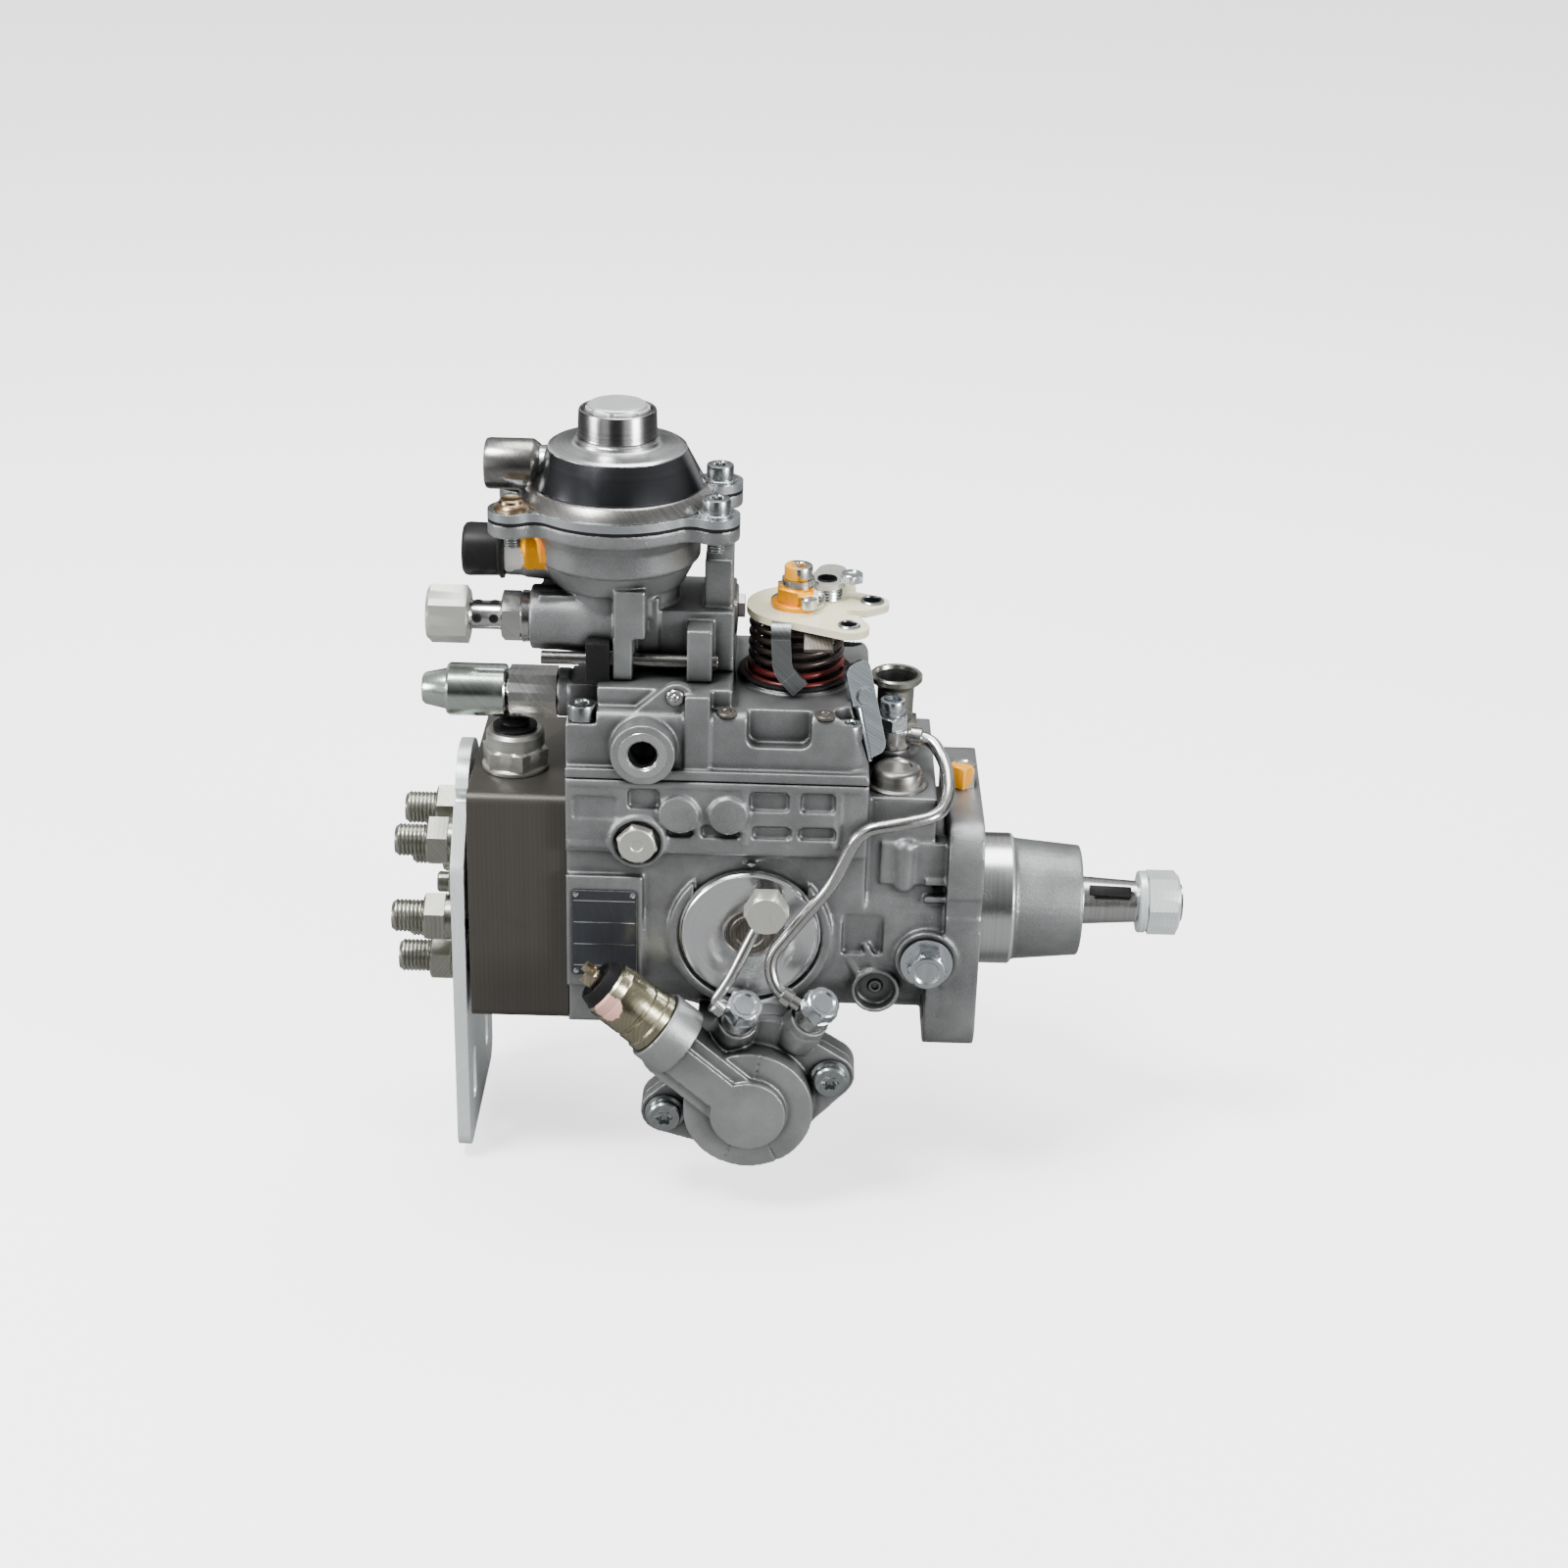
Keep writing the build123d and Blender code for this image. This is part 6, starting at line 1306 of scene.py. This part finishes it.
def keySlotShade(s):
    slope = (taper["backRadius"] - taper["frontRadius"]) / (taper["front"] - taper["back"])
    height = taper["backRadius"] - slope * (s["middle"] - taper["back"])
    side = s["width"] / 2
    bar = brick((-s["half"], -side, -s["sunk"]), (s["half"], side, s["proud"]), s["bevel"])
    bmesh.ops.rotate(bar, matrix=Matrix.Rotation(slope, 3, "Y"), verts=bar.verts)
    bmesh.ops.translate(bar, vec=(s["middle"], 0, height), verts=bar.verts)
    bmesh.ops.rotate(bar, matrix=Matrix.Rotation(radians(s["turn"]), 3, "X"), verts=bar.verts)
    return bar


makePiece("keySlotShade", "blackNylon", [keySlotShade(slotSet)], body="drive_line", slot="dark_steel")

# polished dish over the window with its hollow, return union, regulator plug and stop pin; the hollow and the
# union's bore get dark finishes that paint the shade inside them
dishMiddle, returnSeat = (-84.6, -42.0, 2.8), (-33.0, 9.0, 66.0)
turnedFittings = {
    "windowDish": {
        "finish": "dishChrome", "replaced": ("window_cover",), "middle": dishMiddle,
        "axis": toPlateSide, "segments": 128,
        "rings": ((-2.6, 26.4), (-0.9, 26.5), (-0.6, 25.4), (0.6, 25.2), (1.0, 24.8), (1.1, 23.4),
                  (-1.5, 10.6), (-1.5, 9.4), (-2.4, 9.0), (-2.5, 0.0))},
    # dark finish in the dish's central hollow: painted shade inside the hollow
    "dishHollowShade": {
        "finish": "darkSteel", "slot": "chrome_steel", "middle": dishMiddle, "axis": toPlateSide,
        "segments": 72,
        "rings": ((-3.0, 8.9), (-2.3, 8.9), (-2.2, 7.4), (-1.8, 7.0), (-1.8, 5.6), (-2.3, 5.2),
                  (-2.3, 0.0))},
    "returnSocket": {
        "finish": "oliveSteel", "replaced": ("return_union",), "middle": returnSeat, "segments": 72,
        "rings": ((-2, 8.2), (0, 8.4, "hex"), (3.8, 8.4, "hex"), (4.2, 7.8), (4.4, 6.7), (16.6, 6.9),
                  (18.4, 8.2), (19.0, 9.3), (19.6, 9.8), (21.4, 9.8), (22.0, 9.2), (21.8, 8.0), (17.0, 6.2),
                  (16.0, 5.2), (9.0, 5.0), (9.0, 0.0))},
    # black lining of the union's bore: painted shade inside the bore
    "returnBoreShade": {
        "finish": "blackNylon", "slot": "dark_steel", "middle": returnSeat,
        "rings": ((9.2, 0.0), (9.2, 4.95), (16.1, 5.15), (17.1, 6.15), (20.6, 7.6), (20.5, 7.5), (17.0, 6.0),
                  (16.0, 5.0), (9.4, 4.8), (9.4, 0.0))},
    "regulatorPlug": {
        "finish": "plugSteel", "replaced": ("regulating_valve",), "middle": (-32.5, -25.0, 58.6),
        "segments": 72,
        "rings": ((-1.0, 10.9), (0.4, 10.9), (0.8, 10.4), (1.0, 9.7), (5.2, 9.1), (6.2, 8.6), (6.8, 7.9),
                  (7.0, 7.0), (7.0, 5.6), (6.4, 5.0), (6.4, 0.0))},
    "stopPin": {
        "finish": "turnedSteel", "middle": stopPinMiddle, "axis": toPlateSide, "segments": 32,
        "rings": ((-1.4, 3.2), (0.4, 3.1), (0.8, 2.7), (0.2, 2.3), (0.2, 1.8), (0.9, 1.5), (1.4, 0.8),
                  (1.5, 0.0))},
}
ringPieces(turnedFittings)
sunkScrewSet = {"places": ((-94.6, -37.0, 89.6), (-59.6, -37.0, 89.6)),
                "rings": ((-0.4, 3.6), (0.5, 3.7), (1.0, 3.3), (1.0, 1.9), (0.2, 1.6, "hex"), (-0.4, 0.0))}
makePiece("sunkScrews", "darkSteel",
          [stack(sunkScrewSet["rings"], place, segments=24) for place in sunkScrewSet["places"]])

# pilot register and the machined rings of the ports
inletMouth = (-124.0, -48.0, 77.0)
machinedRings = {
    "pilotRegister": {
        "finish": "cutAluminium", "middle": (0, 0, 0), "axis": toNut, "segments": 96,
        "rings": ((0.02, 24.0), (0.02, 25.02), (12.9, 25.02), (14.0, 24.0), (14.0, 22.6))},
    "inletFace": {
        "finish": "cutAluminium", "middle": inletMouth, "axis": toPlateSide, "segments": 96,
        "rings": ((-12.5, 0.0), (-12.5, 8.9), (-0.4, 9.1), (0.1, 8.7), (0.1, 5.9), (-0.7, 5.2), (-12, 5.2),
                  (-12, 0.0))},
    "shaftLip": {
        "finish": "cutAluminium", "middle": (40.0, 0, 0), "axis": toNut, "segments": 96,
        "rings": ((-1.0, 20.2), (0.05, 19.8), (0.05, 12.2), (-1.0, 11.6))},
    # black thread inside the inlet mouth: painted shade in the bore
    "inletThreadShade": {
        "finish": "blackNylon", "middle": inletMouth, "axis": toPlateSide,
        "rings": [(-11.9, 0.0), (-11.9, 5.25), (-0.9, 5.25),
                  *((-1.2 - 1.2 * i, 5.2 - 0.5 * (i % 2)) for i in range(8)), (-11.6, 0.0)]},
}
ringPieces(machinedRings)

# blank data plate with pressed lines and four drive pins
plateSet = {
    "x": -138.0, "face": -43.6, "z": 3.0,
    "pinX": 10.4, "pinZ": 15.8, "pin": ((0, 1.1), (0.35, 1.0), (0.5, 0.6), (0.55, 0.0)),
    "lines": (-13.4, -4.5, 4.5, 13.4), "lineHalf": 11.2, "lineDepth": 0.12, "lineThick": 0.36,
}


def plateParts(s):
    pins = [stack(s["pin"], (s["x"] + x, s["face"], s["z"] + z), toPlateSide, segments=16)
            for x in (-s["pinX"], s["pinX"]) for z in (-s["pinZ"], s["pinZ"])]
    left, right, half = s["x"] - s["lineHalf"], s["x"] + s["lineHalf"], s["lineThick"] / 2
    front = s["face"] - s["lineDepth"]
    lines = [brick((left, front, s["z"] + z - half), (right, s["face"], s["z"] + z + half))
             for z in s["lines"]]
    return pins + lines


makePiece("platePins", "zincPlate", plateParts(plateSet))

# collars where the pipes enter their eyes
collarSet = {
    "rings": ((0, 2.9), (0.3, 3.5), (4.0, 3.5), (4.6, 2.7)),
    "places": (((-27.5, -6.8, 69.4), (10.0, -1.5, -0.5)), ((-68.5, -59.4, -14.3), (-9.5, 3.1, 4.9)),
               ((-93.5, -61.9, -17.5), (-4.5, 0, 3.9))),
}
makePiece("pipeCollars", "turnedSteel",
          [stack(collarSet["rings"], middle, axis) for middle, axis in collarSet["places"]])
print("detail pieces made")

# floor and light
stageSet = {
    "drop": 0.004,  # metres below the part
    "size": 6.0, "roughness": 0.8, "lift": 1.7,
    "floor": (0.93, 0.93, 0.93), "bounce": (0.34, 0.34, 0.34), "mirror": (0.13, 0.13, 0.13),
    "glow": (1.0, 1.0, 1.0),
    "lights": (
        # name, place, aimed at, size, power
        ("keyLight", (-0.75, -0.45, 1.6), (-0.08, 0, 0.03), 0.5, 46.0),
        ("sideLight", (1.2, -0.85, 0.45), (-0.05, 0, 0.0), 0.5, 32.0),
        ("topLight", (0.0, 0.45, 1.7), (-0.08, 0, 0.03), 1.0, 30.0),
        ("leftStrip", (-1.25, -0.45, 0.4), (-0.1, 0, 0.03), 0.35, 13.0),
    ),
}


def makeFloor(s):
    build = bmesh.new()
    bmesh.ops.create_grid(build, x_segments=1, y_segments=1, size=s["size"])
    bmesh.ops.translate(build, verts=build.verts, vec=(0, 0, cadLow.z - s["drop"]))
    floor = linked("floor", toMesh(build, "floor"))
    material, tree, shader = newFinish("paleFloor", 0.0)
    eye = addNode(tree, "ShaderNodeLightPath").outputs
    bounce = mixColour(tree, eye["Is Glossy Ray"], s["bounce"], s["mirror"])
    values = {
        "Base Color": mixColour(tree, eye["Is Camera Ray"], bounce, s["floor"]),
        "Roughness": s["roughness"],
        "Emission Color": s["glow"],
        "Emission Strength": maths(tree, "MULTIPLY", eye["Is Camera Ray"], s["lift"]),
    }
    for label, value in values.items():
        feed(tree, value, shader.inputs[label])
    floor.data.materials.append(material)


def makeLight(name, place, target, size, power):
    data = bpy.data.lights.new(name, "AREA")
    data.size = size
    data.energy = power
    light = bpy.data.objects.new(name, data)
    light.location = place
    light.rotation_euler = (Vector(target) - Vector(place)).to_track_quat("-Z", "Y").to_euler()
    bpy.context.scene.collection.objects.link(light)


worldSet = {
    # height in the sky from 0 below to 1 above, and its grey
    "bands": ((0.45, 0.55), (0.50, 0.08), (0.60, 0.10), (0.70, 0.75), (1.0, 1.0)),
    "panel": (1.5, 1.5, 1.5), "seen": (3.0, 3.0, 3.0), "strength": 0.62,
}


def makeWorld(s):
    # white to the eye; in reflections a bright ceiling over a dark band
    world = bpy.data.worlds.new("studio")
    world.use_nodes = True
    bpy.context.scene.world = world
    tree = world.node_tree
    place = addNode(tree, "ShaderNodeTexCoord").outputs["Generated"]
    x, y, z = addNode(tree, "ShaderNodeSeparateXYZ", Vector=place).outputs
    ramp = addNode(tree, "ShaderNodeValToRGB", Fac=remap(tree, z, -1.0, 1.0))
    stops = ramp.color_ramp.elements
    stops[0].position, stops[1].position = s["bands"][0][0], s["bands"][-1][0]
    for position, _ in s["bands"][1:-1]:
        stops.new(position)
    for stop, (position, tone) in zip(stops, s["bands"]):
        stop.color = (tone, tone, tone, 1)
    # darker behind the part; two upright bright panels beside the viewer, seen only as reflections
    shaded = mixColour(tree, 1.0, ramp.outputs["Color"], remap(tree, y, -0.9, 0.1, 0.22, 1.0), "MULTIPLY")
    across, height = maths(tree, "ABSOLUTE", x), maths(tree, "ABSOLUTE", z)
    panel = maths(tree, "MULTIPLY", remap(tree, across, 0.30, 0.40), remap(tree, across, 0.74, 0.62))
    panel = maths(tree, "MULTIPLY", panel, remap(tree, height, 0.62, 0.45))
    shaded = mixColour(tree, panel, shaded, s["panel"])
    seen = addNode(tree, "ShaderNodeLightPath").outputs["Is Camera Ray"]
    feed(tree, mixColour(tree, seen, shaded, s["seen"]), tree.nodes["Background"].inputs["Color"])
    tree.nodes["Background"].inputs["Strength"].default_value = s["strength"]


makeFloor(stageSet)
for light in stageSet["lights"]:
    makeLight(*light)
makeWorld(worldSet)
print("stage made")
